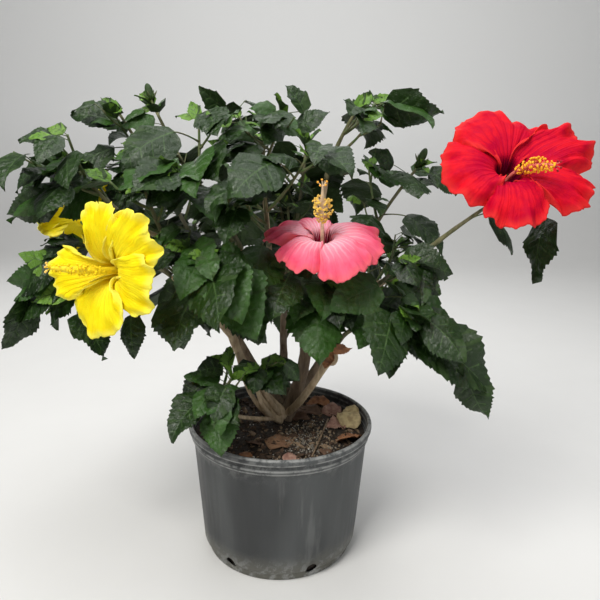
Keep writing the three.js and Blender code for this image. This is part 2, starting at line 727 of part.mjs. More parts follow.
// Young leaves stand in a pair round a leader's tip and singly at a side shoot's, clear of the blooms.
function youngLeaves(shoot, mass, roll) {
  const { heading } = along(shoot, 1);
  const at = shoot.tip.clone().addScaledVector(heading, -1.5);
  const leaves = (shoot.leader ? [0, 1] : [0]).map((i) => {
    const shape = { length: 26 + 12 * roll(), droop: 0, roll: 0, stalkShare: 0 };
    const leaf = placeLeaf({ at, heading }, mass, i * 2.6 + mass.seed, shape);
    leaf.heading = leaf.heading.addScaledVector(heading, 1.1).normalize();
    leaf.ending = leaf.heading.clone();
    leaf.side.addScaledVector(leaf.heading, -leaf.side.dot(leaf.heading)).normalize();
    return leaf;
  });
  const hidden = (mark) => spaces.some((space) => insideBloom(mark, space));
  return leaves.filter((leaf) => !leafMarks(leaf).some(hidden));
}

// The solid of a leaf that stands clear of all others, or null.
function clearLeaf(leaf, mass, solids) {
  const marks = leafMarks(leaf);
  if (!fits(marks, mass, leaf.length)) return null;
  const solid = mass.back ? plainLeafSolid(leaf, 0.4, LEAF_WIDTH / 2) : leafSolid(leaf);
  if (solids.some((others) => meets(solid, others))) return null;
  standingMarks.push(...marks);
  return solid;
}

// The solids of the grown leaves of one shoot. A leaf that doesn't fit is turned, and left out if
// no turn helps.
function grownLeaves(shoot, mass, roll, others, own) {
  const spacing = mass.back ? BACK_SPACING : LEAF_SPACING;
  const count = Math.max(2, Math.round((shoot.reach * (1 - shoot.leafFrom)) / spacing) + 1);
  const solids = [];
  for (let i = 0; i < count; i++) {
    const place = along(shoot, shoot.leafFrom + (0.97 - shoot.leafFrom) * (i / (count - 1)));
    const size = mass.blade * (0.78 + 0.34 * roll()) * (i >= count - 1 ? 0.6 : 1);
    const hang = mass.droop * (0.6 + 0.7 * roll());
    const lean = (roll() - 0.5) * 0.7;
    const turn = i * GOLDEN_ANGLE + mass.seed * 1.7;
    for (let k = 0; k < TRIES; k++) {
      const swing = (k % 2 ? 1 : -1) * Math.ceil(k / 2) * 0.55;
      const length = size * (1 - 0.05 * k);
      const shape = { length, droop: hang + 0.12 * (k % 3), roll: lean, stalkShare: PETIOLE };
      const solid = clearLeaf(placeLeaf(place, mass, turn + swing, shape), mass, [others, own, solids]);
      if (!solid) continue;
      solids.push(solid);
      break;
    }
  }
  return solids;
}

// A shoot's solid: four-sided for a leader, three-sided for a side shoot.
function shootSolid(shoot) {
  const steps = shoot.leader ? 4 : 2;
  const path = curvePoints(shoot.foot, shoot.bend, shoot.tip, steps);
  const radii = path.map((_, i) => shoot.radii[0] + ((shoot.radii[1] - shoot.radii[0]) * i) / steps);
  return solidOf(taperedTube(path, radii, shoot.leader ? 4 : 3));
}

// Every leader stands before any leaf grows.
const leaderWoods = leaders.map((l) => ({ mass: l.mass, wood: shootSolid({ ...l, ...LEADER }) }));

// A foliage mass: its shoots with their leaves, fused, clear of every limb, bloom, leader and mass that
// stands already.
function massSolid(mass, limbSpaces) {
  const roll = dice(mass.seed);
  const otherLeaders = leaderWoods.filter((l) => l.mass !== mass).map((l) => l.wood);
  const others = [...standing, ...limbSpaces, ...otherLeaders];
  const shoots = shootsOf(mass, roll);
  const leaves = [];
  const woods = [];
  shoots.forEach((shoot) => {
    const wood = shootSolid(shoot);
    const fresh = youngLeaves(shoot, mass, roll).map((leaf) => plainLeafSolid(leaf, 0.5, 0.3));
    const grown = grownLeaves(shoot, mass, roll, others, leaves);
    if (!shoot.leader && meets(wood, others)) return;
    woods.push(wood);
    const free = fresh.filter((leaf) => ![others, grown, leaves].some((group) => meets(leaf, group)));
    leaves.push(...grown, ...free);
  });
  standing.push(...woods, ...leaves);
  const fused = wasm.Manifold.union([...woods, ...leaves]);
  return largest(limbSpaces.reduce((solid, space) => solid.subtract(space), fused));
}

// Blooms

// Shares of a petal's length and of its half width where its faces meet.
const FINE_PETAL = { along: [0, 0.24, 0.56, 0.84, 1], across: [-1, -0.4, 0.4, 1] };
const COARSE_PETAL = { along: [0, 0.3, 0.8, 1], across: [-1, 0, 1] };

const PETAL_SPAN = { foot: 0.66, more: 0.12 }; // half of it, in radians
const CORNER = 0.45; // how far the petal's corners reach, of its middle
const PETAL_CURL = 0.08; // how far its tip turns back, of its reach

// A point of a petal in the bloom's own frame: along it by u, across it by v. Height is measured from
// the throat. The petal fans out to rounded corners and turns back at its tip.
function petalPoint(bloom, u, v) {
  const ease = THREE.MathUtils.smoothstep;
  const outer = bloom.reach * (CORNER + (1 - CORNER) * (1 - Math.abs(v) ** 2.6) ** 0.6);
  const radius = THROAT_RADIUS + (outer - THROAT_RADIUS) * u ** 1.08;
  const span = PETAL_SPAN.foot + PETAL_SPAN.more * ease(u, 0.1, 0.7);
  const half = span * (THROAT_RADIUS + (bloom.reach - THROAT_RADIUS) * u);
  const tube = -TUBE_DEPTH * (1 - ease(u, 0, 0.22));
  const arch = bloom.lift * u + bloom.belly * 4 * u * (1 - u) - PETAL_CURL * bloom.reach * u ** 3;
  return { radius, angle: v * span, height: tube + arch + 0.12 * v * half - 0.07 * half * v * v };
}

function petalSolid(bloom, spin) {
  const at = (u, v) => {
    const p = petalPoint(bloom, u, v);
    const turned = p.angle + spin;
    return new THREE.Vector3(p.radius * Math.cos(turned), p.radius * Math.sin(turned), p.height);
  };
  const step = 0.01;
  const inside = (share, least) => THREE.MathUtils.clamp(share, least, 1);
  const shares = bloom.coarse ? COARSE_PETAL : FINE_PETAL;
  const grid = [];
  for (const sign of [0.5, -0.5]) {
    for (const u of shares.along) {
      for (const v of shares.across) {
        const alongU = at(inside(u + step, 0), v).sub(at(inside(u - step, 0), v));
        const alongV = at(u, inside(v + step, -1)).sub(at(u, inside(v - step, -1)));
        const normal = alongU.cross(alongV).normalize();
        grid.push(at(u, v).addScaledVector(normal, sign * PETAL_THICKNESS));
      }
    }
  }
  const across = shares.across.length;
  const rows = shares.along.length;
  const id = (layer, i, j) => layer * rows * across + i * across + j;
  const triangles = [];
  for (let i = 0; i + 1 < rows; i++) {
    for (let j = 0; j + 1 < across; j++) {
      const [a, b, c, d] = [id(0, i, j), id(0, i + 1, j), id(0, i + 1, j + 1), id(0, i, j + 1)];
      const [e, f, g, h] = [id(1, i, j), id(1, i + 1, j), id(1, i + 1, j + 1), id(1, i, j + 1)];
      triangles.push([a, b, c], [a, c, d], [e, g, f], [e, h, g]);
    }
  }
  const rim = [];
  for (let i = 0; i < rows; i++) rim.push([i, 0]);
  for (let j = 1; j < across; j++) rim.push([rows - 1, j]);
  for (let i = rows - 2; i >= 0; i--) rim.push([i, across - 1]);
  for (let j = across - 2; j > 0; j--) rim.push([0, j]);
  rim.forEach(([i, j], k) => {
    const [m, n] = rim[(k + 1) % rim.length];
    triangles.push([id(0, i, j), id(1, i, j), id(1, m, n)]);
    triangles.push([id(0, i, j), id(1, m, n), id(0, m, n)]);
  });
  return solidOf(geometryOf(grid, triangles));
}

// The path of the column in the bloom's own frame. It leans from the axis towards its tip.
function columnPath(bloom, frame) {
  const lean = vec(bloom.lean).applyMatrix3(frame.clone().transpose());
  return [0, 0.3, 0.62, 0.8, 0.95, 1].map((t) => {
    const straight = new THREE.Vector3(0, 0, -TUBE_DEPTH + (bloom.column + TUBE_DEPTH) * t);
    return straight.addScaledVector(lean, bloom.column * 0.5 * t * t);
  });
}

function bloomSolid(bloom) {
  const faces = vec(bloom.faces).normalize();
  const turned = new THREE.Matrix4().makeRotationFromQuaternion(
    new THREE.Quaternion().setFromUnitVectors(UP, faces),
  );
  const frame = new THREE.Matrix3().setFromMatrix4(turned);
  const pieces = [];
  for (let k = 0; k < PETALS; k++) {
    const [spin, share] = bloom.petals ? bloom.petals[k] : [bloom.turn + (k / PETALS) * 2 * Math.PI, 1];
    pieces.push(petalSolid({ ...bloom, reach: bloom.reach * share }, spin));
  }
  pieces.push(solidOf(taperedTube(columnPath(bloom, frame), COLUMN_RADII, 5)));
  const calyx = [
    [0, -TUBE_DEPTH - CALYX_LENGTH],
    [PEDICEL_RADIUS + 1, -TUBE_DEPTH - CALYX_LENGTH],
    [CALYX_RADIUS, -TUBE_DEPTH - CALYX_LENGTH * 0.6],
    [CALYX_RADIUS + 1, -TUBE_DEPTH + 4],
    [0, -TUBE_DEPTH + 3],
  ].map(([r, z]) => new THREE.Vector2(r, z));
  pieces.push(solidOf(stoodUp(new THREE.LatheGeometry(calyx, 6))));
  const place = turned.clone().setPosition(vec(bloom.throat));
  const head = wasm.Manifold.union(pieces).transform(place.toArray());
  return head.add(bloomStalk(bloom, faces)).subtract(leaderSpace(bloom));
}

// The stalk goes on from the leader's tip, or leaves the leader's side at a share of its length.
function bloomStalk(bloom, faces) {
  const { at, heading } = along(leaders.find((l) => l.mass.name === bloom.mass), bloom.root ?? 1);
  const end = vec(bloom.throat).addScaledVector(faces, -TUBE_DEPTH - CALYX_LENGTH + 1);
  const start = bloom.root ? at : at.addScaledVector(heading, GAP + 0.1);
  const reach = end.distanceTo(start);
  const into = end.clone().addScaledVector(faces, -0.4 * reach);
  const bend = bloom.root ? mix(start, into, 0.6) : start.clone().addScaledVector(heading, 0.5 * reach);
  return solidOf(taperedTube(curvePoints(start, bend, end, 4), [2.2, 2.1, 2, 2, 2.3], 5));
}

// The space of the leader that carries a bloom, with the gap round it.
function leaderSpace(bloom) {
  const { foot, bend, tip } = leaders.find((l) => l.mass.name === bloom.mass);
  const radii = [3.4, 3.1, 2.8, 2.4, 2].map((r) => r + 2 * GAP);
  return solidOf(taperedTube(curvePoints(foot, bend, tip, 4), radii, 6));
}

// Assembly

const root = new THREE.Group();

const FINISHES = {
  pot: { color: 0x3a3c3e, roughness: 0.55 },
  soil: { color: 0x2a1f18, roughness: 0.95 },
  bark: { color: 0x8a7358, roughness: 0.85 },
  leaf: { color: 0x24451f, roughness: 0.4 },
};

function addNode(name, solid, finish) {
  const material = new THREE.MeshStandardMaterial({ ...finish, metalness: 0 });
  const mesh = new THREE.Mesh(meshGeometry(solid), material);
  mesh.name = name;
  root.add(mesh);
}

addNode("pot", potSolid(), FINISHES.pot);
addNode("soil", soilSolid(), FINISHES.soil);

// Each limb is cut clear of those that stand before it, and leaves the gap round itself.
const limbSpaces = [];
for (const limb of LIMBS) {
  const solid = largest(limbSpaces.reduce((rest, space) => rest.subtract(space), limbSolid(limb, 0)));
  limbSpaces.push(limbSolid(limb, GAP));
  addNode(limb.name, solid, FINISHES.bark);
}

const blooms = BLOOMS.map((bloom) => ({ bloom, solid: largest(bloomSolid(bloom)) }));
standing.push(...blooms.map(({ solid }) => solid));

for (const mass of MASSES) {
  addNode(mass.name, massSolid(mass, limbSpaces), FINISHES.leaf);
}
for (const { bloom, solid } of blooms) {
  addNode(bloom.name, solid, { color: bloom.colour, roughness: 0.5 });
}

export default root;
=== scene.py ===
"""A Chinese hibiscus shrub in its squat nursery pot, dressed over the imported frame.

The crown grows by the rule of the part's source: the same limbs, leaders, side shoots and turns, from the same
seeds, carried on here to finer twigs and more leaves within the same reach. Sizes are in millimetres, as in the
source, and meshes are made in metres. +Z is up, and the three large blooms face -Y.
"""

import logging
import math
from dataclasses import dataclass, field
from enum import Enum

import bpy
import numpy as np
from mathutils import Matrix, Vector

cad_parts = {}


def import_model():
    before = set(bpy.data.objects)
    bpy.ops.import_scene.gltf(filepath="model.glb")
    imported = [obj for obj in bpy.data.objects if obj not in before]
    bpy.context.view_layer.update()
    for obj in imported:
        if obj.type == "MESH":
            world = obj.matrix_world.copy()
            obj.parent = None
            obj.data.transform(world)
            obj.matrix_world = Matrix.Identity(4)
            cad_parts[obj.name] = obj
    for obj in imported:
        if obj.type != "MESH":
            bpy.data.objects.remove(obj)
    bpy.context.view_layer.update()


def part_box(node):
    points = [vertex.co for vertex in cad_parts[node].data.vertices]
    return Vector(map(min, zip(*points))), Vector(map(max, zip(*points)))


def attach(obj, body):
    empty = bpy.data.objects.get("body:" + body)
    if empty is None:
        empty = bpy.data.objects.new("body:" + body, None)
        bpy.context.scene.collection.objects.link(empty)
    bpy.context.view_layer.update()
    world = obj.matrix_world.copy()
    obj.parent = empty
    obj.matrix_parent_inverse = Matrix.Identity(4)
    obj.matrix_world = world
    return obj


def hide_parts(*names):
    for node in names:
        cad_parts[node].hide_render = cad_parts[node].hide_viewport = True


Array = np.ndarray
Colour = tuple[float, float, float]
Point = tuple[float, float, float]
Pair = tuple[float, float]
Socket = bpy.types.NodeSocket
Material = bpy.types.Material
Thing = bpy.types.Object

LOG = logging.getLogger("hibiscus")
MM = 0.001
UP = np.array([0.0, 0.0, 1.0])
GOLDEN_ANGLE = 2.39996


def unit(v: Array) -> Array:
    """Vectors of length one along the last axis."""
    return v / np.maximum(np.linalg.norm(v, axis=-1, keepdims=True), 1e-9)


def mix(a: Array, b: Array, t: Array) -> Array:
    """a where t is 0, b where t is 1, and a straight blend between."""
    return a + (b - a) * t


def ease(x: Array, low: float, high: float) -> Array:
    """0 below low, 1 above high, and 3s^2 - 2s^3 of the share s between."""
    s = np.clip((x - low) / (high - low), 0.0, 1.0)
    return s * s * (3.0 - 2.0 * s)


def around(count: int) -> Array:
    """Even angles round a full turn, from 0."""
    return np.arange(count) * 2 * math.pi / count


def square_to(v: Array, axis: Array) -> Array:
    """The direction of the part of v that is square to a unit axis."""
    return unit(v - axis * (v @ axis))


def round_points(radius: Array, turn: Array, height: Array) -> Array:
    """Points at a radius, an angle about +Z and a height, in the shape that the three make together."""
    return np.stack(np.broadcast_arrays(radius * np.cos(turn), radius * np.sin(turn), height), axis=-1)


def spokes(axis: Array, side: Array, turn: Array) -> Array:
    """Directions square to an axis, at angles about it from a side that is square to it too."""
    return side * np.cos(turn) + np.cross(axis, side) * np.sin(turn)


class Dice:
    """The source's seeded numbers from 0 to 1: a 32-bit counter, mixed by multiply and shift."""

    MASK = 0xFFFFFFFF

    def __init__(self, seed: int) -> None:
        """Starts the counter at the seed times a fixed odd number."""
        self.state = (seed * 0x9E3779B9) & self.MASK

    def roll(self) -> float:
        """The next number."""
        self.state = (self.state + 0x6D2B79F5) & self.MASK
        t = self.state
        t = ((t ^ (t >> 15)) * (t | 1)) & self.MASK
        t ^= (t + (((t ^ (t >> 7)) * (t | 61)) & self.MASK)) & self.MASK
        return ((t ^ (t >> 14)) & self.MASK) / 4294967296


@dataclass(frozen=True)
class Arc:
    """A quadratic curve from foot to tip, drawn towards bend."""

    foot: Array
    bend: Array
    tip: Array

    def at(self, t: float | Array) -> Array:
        """The point (1-t)^2 foot + 2t(1-t) bend + t^2 tip."""
        s = np.asarray(t, dtype=float)[..., None]
        return (1 - s) ** 2 * self.foot + 2 * s * (1 - s) * self.bend + s**2 * self.tip

    def heading(self, t: float) -> Array:
        """The way the curve runs at a share of its length."""
        return unit(self.at(min(t + 0.05, 1.0)) - self.at(max(t - 0.05, 0.0)))

    def across(self) -> Array:
        """A vector square to the whole curve, from the plane that it lies in."""
        normal = np.cross(self.bend - self.foot, self.tip - self.bend)
        if np.linalg.norm(normal) < 1e-3:
            normal = np.cross(self.tip - self.foot, [0.31, 0.95, 0.07])
        return unit(normal)


# Meshes


class Piece:
    """Gathers the faces of one piece as whole arrays, then makes its object."""

    def __init__(self, name: str) -> None:
        """Starts an empty piece of the given name."""
        self.name = name
        self.points: list[Array] = []
        self.faces: list[tuple[Array, Array]] = []
        self.marks: dict[str, list[Array]] = {}
        self.count = 0

    def add(self, points: Array, faces: list[tuple[Array, int | Array]], **marks: Array) -> None:
        """Adds points and their faces.

        Args:
            points: Points in millimetres, their last axis x, y, z.
            faces: Arrays of corner numbers, one row for each face, with their material slot or slots.
            marks: Values for each point, kept as attributes.
        """
        flat = points.reshape(-1, 3)
        for corners, slot in faces:
            slots = np.broadcast_to(np.asarray(slot), (len(corners),))
            self.faces.append((corners + self.count, slots))
        for key, values in marks.items():
            self.marks.setdefault(key, []).append(np.broadcast_to(values, points.shape[:-1]).reshape(-1))
        self.points.append(flat)
        self.count += len(flat)

    def add_tubes(
        self, paths: Array, radii: Array, across: Array, sides: int, slot: int | Array = 0, end: int | None = None
    ) -> None:
        """Adds tubes, in one material slot or one for each tube, with another slot for their ends where given."""
        points, quads, ends = tubes(paths, radii, across, sides)
        self.add(points, [(quads, dealt(slot, quads)), (ends, dealt(slot if end is None else end, ends))])

    def add_beads(self, centres: Array, frames: Array, rows: int, cols: int, slot: int = 0) -> None:
        """Adds beads, all in one material slot."""
        points, quads, ends = beads(centres, frames, rows, cols)
        self.add(points, [(quads, slot), (ends, slot)])

    def add_sheet(self, top: Array, low: Array, slot: int = 0, **marks: Array) -> None:
        """Adds a thin closed sheet between two grids of points of shape (rows, cols, 3)."""
        self.add(np.stack([top, low]), [(faces, slot) for faces in closed_sheet_faces(*top.shape[:2])], **marks)

    def make(self, materials: list[Material], smooth: bool = True) -> Thing:
        """Makes the object, at the origin, with its place in its mesh.

        Args:
            materials: The finishes, by slot.
            smooth: Whether faces are shaded smooth.

        Returns:
            The object.
        """
        mesh = bpy.data.meshes.new(self.name)
        points = np.concatenate(self.points) * MM
        sizes = np.concatenate([np.full(len(corners), corners.shape[1]) for corners, _ in self.faces])
        corners = np.concatenate([corners.ravel() for corners, _ in self.faces])
        slots = np.concatenate([slots for _, slots in self.faces])
        mesh.vertices.add(len(points))
        mesh.vertices.foreach_set("co", points.astype(np.float32).ravel())
        mesh.loops.add(len(corners))
        mesh.loops.foreach_set("vertex_index", corners.astype(np.int32))
        mesh.polygons.add(len(sizes))
        mesh.polygons.foreach_set("loop_start", (np.cumsum(sizes) - sizes).astype(np.int32))
        mesh.polygons.foreach_set("material_index", slots.astype(np.int32))
        mesh.polygons.foreach_set("use_smooth", np.full(len(sizes), smooth))
        rim = self.marks.pop("rim", None)
        for key, values in self.marks.items():
            stored = mesh.attributes.new(key, "FLOAT", "POINT")
            stored.data.foreach_set("value", np.concatenate(values).astype(np.float32))
        mesh.update(calc_edges=True)
        if rim is not None:
            ends = np.empty(len(mesh.edges) * 2, dtype=np.int32)
            mesh.edges.foreach_get("vertices", ends)
            on_rim = np.concatenate(rim)[ends.reshape(-1, 2)].all(axis=1)
            mesh.attributes.new("sharp_edge", "BOOLEAN", "EDGE").data.foreach_set("value", on_rim)
        mesh.validate()
        for material in materials:
            mesh.materials.append(material)
        thing = bpy.data.objects.new(self.name, mesh)
        bpy.context.scene.collection.objects.link(thing)
        LOG.info("%s: %d points, %d faces", self.name, len(points), len(sizes))
        return thing


def grid_faces(rows: int, cols: int, joined: bool = False) -> Array:
    """Corner numbers of the quads of a grid of rows by cols points, its last column joined to its first if joined."""
    i, j = np.meshgrid(np.arange(rows - 1), np.arange(cols if joined else cols - 1), indexing="ij")
    k = (j + 1) % cols
    quads = np.stack([i * cols + j, i * cols + k, (i + 1) * cols + k, (i + 1) * cols + j], axis=-1)
    return quads.reshape(-1, 4)


def repeated(faces: Array, times: int, stride: int) -> Array:
    """The same faces for each of many copies whose points follow each other."""
    return (faces[None] + (np.arange(times) * stride)[:, None, None]).reshape(-1, faces.shape[1])


def dealt(slot: int | Array, faces: Array) -> int | Array:
    """The slot of every face, from one slot for all or one for each copy."""
    return np.repeat(slot, len(faces) // len(slot)) if isinstance(slot, np.ndarray) else slot


def closed_rings(rows: int, cols: int, flip: bool = False) -> tuple[Array, Array]:
    """Faces of a stack of rings, and of the fans that close its ends round two middle points, which come last.

    Args:
        rows: How many rings.
        cols: Points in a ring.
        flip: Whether the faces are turned over.

    Returns:
        The quads and the fans' triangles.
    """
    k, last = np.arange(cols), rows * cols
    nxt = (k + 1) % cols
    low = np.stack([np.full(cols, last), nxt, k], axis=-1)
    high = np.stack([np.full(cols, last + 1), last - cols + k, last - cols + nxt], axis=-1)
    quads, fans = grid_faces(rows, cols, joined=True), np.concatenate([low, high])
    return (quads[:, ::-1], fans[:, [0, 2, 1]]) if flip else (quads, fans)


def tubes(paths: Array, radii: Array, across: Array, sides: int) -> tuple[Array, Array, Array]:
    """Closed round tubes along many paths: path + radius (cos(a) side + sin(a) other), both square to its heading.

    Args:
        paths: The points of each path, shape (n, m, 3).
        radii: The radius at each, shape (n, m) or (n, m, sides).
        across: A vector for each path that is never along it, shape (n, 3), which side comes from.
        sides: Faces round each tube.

    Returns:
        The points (n, m * sides + 2, 3), the quads and the end triangles.
    """
    n, m = paths.shape[:2]
    heading = unit(np.gradient(paths, axis=1))
    side = unit(across[:, None] - heading * np.sum(heading * across[:, None], axis=-1, keepdims=True))
    other = np.cross(heading, side)
    angle = around(sides)[:, None]
    radius = radii if radii.ndim == 3 else radii[..., None]
    spoke = side[:, :, None] * np.cos(angle) + other[:, :, None] * np.sin(angle)
    ring = paths[:, :, None] + spoke * radius[..., None]
    stride = m * sides + 2
    points = np.concatenate([ring.reshape(n, m * sides, 3), paths[:, :1], paths[:, -1:]], axis=1)
    quads, ends = closed_rings(m, sides)
    return points, repeated(quads, n, stride), repeated(ends, n, stride)


def beads(centres: Array, frames: Array, rows: int, cols: int) -> tuple[Array, Array, Array]:
    """Round beads, each a unit ball put through its own frame.

    Args:
        centres: The middle of each, shape (n, 3).
        frames: Three half axes for each, shape (n, 3, 3), one to a row.
        rows: Rings between the poles.
        cols: Faces round each ring.

    Returns:
        The points (n, rows * cols + 2, 3), the quads and the pole triangles.
    """
    n, stride = len(centres), rows * cols + 2
    tilt = np.linspace(0, math.pi, rows + 2)[1:-1, None]
    ball = round_points(np.sin(tilt), around(cols), np.cos(tilt)).reshape(-1, 3)
    ball = np.concatenate([ball, [[0, 0, 1.0], [0, 0, -1.0]]])
    points = centres[:, None] + np.einsum("pk,nkc->npc", ball, frames)
    quads, ends = closed_rings(rows, cols, flip=True)
    return points, repeated(quads, n, stride), repeated(ends, n, stride)


def closed_sheet_faces(rows: int, cols: int) -> tuple[Array, Array, Array]:
    """Quads of a thin closed sheet whose underside's points follow those of its top: top, underside and rim."""
    top = grid_faces(rows, cols)
    under = top[:, ::-1] + rows * cols
    i, j = np.arange(rows), np.arange(cols)
    loop = np.concatenate([i * cols, (rows - 1) * cols + j[1:], (i * cols + cols - 1)[::-1][1:], j[::-1][1:-1]])
    nxt = np.roll(loop, -1)
    rim = np.stack([loop, loop + rows * cols, nxt + rows * cols, nxt], axis=-1)
    return top, under, rim[:, ::-1]


def dress(thing: Thing, node: str) -> None:
    """Makes a piece ride on the plant's one body and stand for a solid of the frame."""
    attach(thing, "root")
    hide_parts(node)


def shade(colour: Colour, factor: float) -> Colour:
    """A colour made lighter or darker."""
    return tuple(factor * c for c in colour)


def waves(seed: int, count: int, *axes: Array, pitch: float = 1.0) -> Array:
    """A smooth random field: the mean of sines of random direction, pitch and phase over the given axes."""
    source = np.random.default_rng(seed)
    total = np.zeros(np.broadcast_shapes(*(a.shape for a in axes)))
    for _ in range(count):
        phase = source.uniform(0, 2 * math.pi)
        total = total + np.sin(sum(a * source.normal(0, pitch) for a in axes) + phase)
    return total / math.sqrt(count)


# Finishes


class Nodes:
    """Builds the nodes of one material round its shader."""

    def __init__(self, name: str) -> None:
        """Makes a new material with a shader and an output."""
        self.material = bpy.data.materials.new(name)
        self.material.use_nodes = True
        self.tree = self.material.node_tree
        self.shader = self.tree.nodes["Principled BSDF"]

    def node(self, kind: str, **values: object) -> bpy.types.Node:
        """A node of a kind, with its properties or sockets set, and links made where a value is a socket."""
        made = self.tree.nodes.new(kind)
        for key, value in values.items():
            if hasattr(made, key) and key not in made.inputs:
                setattr(made, key, value)
                continue
            socket = made.inputs[int(key[1:])] if key[0] == "i" and key[1:].isdigit() else made.inputs[key]
            self.feed(socket, value)
        return made

    def feed(self, socket: Socket, value: object) -> None:
        """Links a socket to another, or sets its value."""
        if isinstance(value, Socket):
            self.tree.links.new(value, socket)
        else:
            socket.default_value = value

    def place(self, stretch: Point = (1, 1, 1)) -> Socket:
        """Object coordinates, stretched."""
        source = self.node("ShaderNodeTexCoord")
        return self.node("ShaderNodeMapping", Vector=source.outputs["Object"], Scale=stretch).outputs[0]

    def mark(self, name: str) -> Socket:
        """The value of a mesh attribute."""
        return self.node("ShaderNodeAttribute", attribute_name=name).outputs["Fac"]

    def noise(self, scale: float, detail: float = 3, rough: float = 0.55, stretch: Point = (1, 1, 1)) -> Socket:
        """Smooth random values about a half."""
        at = self.place(stretch)
        return self.node("ShaderNodeTexNoise", Vector=at, Scale=scale, Detail=detail, Roughness=rough).outputs["Fac"]

    def cells(self, scale: float, stretch: Point = (1, 1, 1), **values: object) -> Socket:
        """The distance to the middle of the nearest of many random cells, or to their edges."""
        made = self.node("ShaderNodeTexVoronoi", **values, Vector=self.place(stretch), Scale=scale)
        return made.outputs["Distance"]

    def ramp(self, value: Socket, stops: list[tuple[float, Colour]]) -> Socket:
        """Colours along a value."""
        made = self.node("ShaderNodeValToRGB", Fac=value)
        elements = made.color_ramp.elements
        while len(elements) < len(stops):
            elements.new(0.5)
        for element, (at, colour) in zip(elements, stops):
            element.position = at
            element.color = (*colour, 1)
        return made.outputs["Color"]

    def step(self, value: Socket, low: float, high: float, a: float = 0, b: float = 1) -> Socket:
        """The value brought from low..high to a..b, eased."""
        made = self.node("ShaderNodeMapRange", interpolation_type="SMOOTHSTEP", i0=value, i1=low, i2=high, i3=a, i4=b)
        return made.outputs[0]

    def math(self, operation: str, a: object, b: object = 0.0, c: object = 0.0) -> Socket:
        """An operation on two or three values."""
        return self.node("ShaderNodeMath", operation=operation, i0=a, i1=b, i2=c).outputs[0]

    def times(self, a: object, b: object) -> Socket:
        """The product of two values."""
        return self.math("MULTIPLY", a, b)

    def plus(self, a: object, b: object) -> Socket:
        """The sum of two values."""
        return self.math("ADD", a, b)

    def blend(self, share: object, a: object, b: object) -> Socket:
        """Colour a where the share is 0 and b where it is 1."""
        made = self.node("ShaderNodeMix", data_type="RGBA")
        for number, value in ((0, share), (6, a), (7, b)):
            self.feed(made.inputs[number], (*value, 1) if isinstance(value, tuple) else value)
        return made.outputs[2]

    def bump(self, height: Socket, distance: float, strength: float = 1.0) -> Socket:
        """A normal bent by a height, in metres."""
        return self.node("ShaderNodeBump", Height=height, Distance=distance, Strength=strength).outputs[0]

    def finish(self, **sockets: object) -> Material:
        """Sets or links the shader's sockets, with spaces for underscores, and returns the material."""
        for key, value in sockets.items():
            socket = self.shader.inputs[key.replace("_", " ")]
            colour = socket.type == "RGBA" and isinstance(value, tuple)
            self.feed(socket, (*value, 1) if colour else value)
        return self.material


@dataclass(frozen=True)
class LeafFinish:
    """A plain leaf colour with faint clouding, painted shade in the creases between its puckers, a soft gloss and a
    fine net of veins.
    """

    name: str
    colour: Colour
    cloud: Colour
    roughness: float = 0.42
    specular: float = 0.4

    def material(self) -> Material:
        """Makes the material."""
        n = Nodes(self.name)
        clouds = n.noise(38, 2)
        puckers_and_crease_shade = n.cells(170, feature="SMOOTH_F1", Smoothness=0.7)
        net = n.cells(480, feature="DISTANCE_TO_EDGE")
        height = n.math("MULTIPLY_ADD", n.step(net, 0.0, 0.3), 0.16, n.math("SUBTRACT", 1.0, puckers_and_crease_shade))
        body = n.blend(n.step(clouds, 0.35, 0.68), self.colour, self.cloud)
        return n.finish(
            # Painted shade: the colour darkens towards 0.55 of itself in the creases between the puckers, where the
            # bump is lowest.
            Base_Color=n.blend(n.times(n.step(puckers_and_crease_shade, 0.2, 0.62), 0.35), body, shade(self.colour, 0.55)),
            Roughness=self.roughness,
            Specular_IOR_Level=self.specular,
            Normal=n.bump(height, 0.0017, 0.8),
        )


@dataclass(frozen=True)
class BarkFinish:
    """Greyish tan bark with long pale streaks, dark cracks and round breathing pores."""

    name: str
    pale: Colour
    dark: Colour
    scale: float = 1.0

    def material(self) -> Material:
        """Makes the material."""
        n = Nodes(self.name)
        streaks = n.noise(150 * self.scale, 5, 0.65, (1, 1, 0.16))
        dots = n.step(n.cells(230, (1, 1, 0.55)), 0.16, 0.05)
        half = tuple(0.5 * (a + b) for a, b in zip(self.pale, self.dark))
        body = n.ramp(streaks, [(0.3, self.dark), (0.52, half), (0.7, self.pale)])
        grey = n.blend(n.step(n.noise(34, 3), 0.45, 0.75, 0, 0.5), body, (0.23, 0.205, 0.175))
        return n.finish(
            Base_Color=n.blend(n.times(dots, 0.45), grey, self.pale),
            Roughness=0.82,
            Specular_IOR_Level=0.25,
            Normal=n.bump(n.plus(streaks, n.times(dots, 0.5)), 0.0011, 0.8),
        )


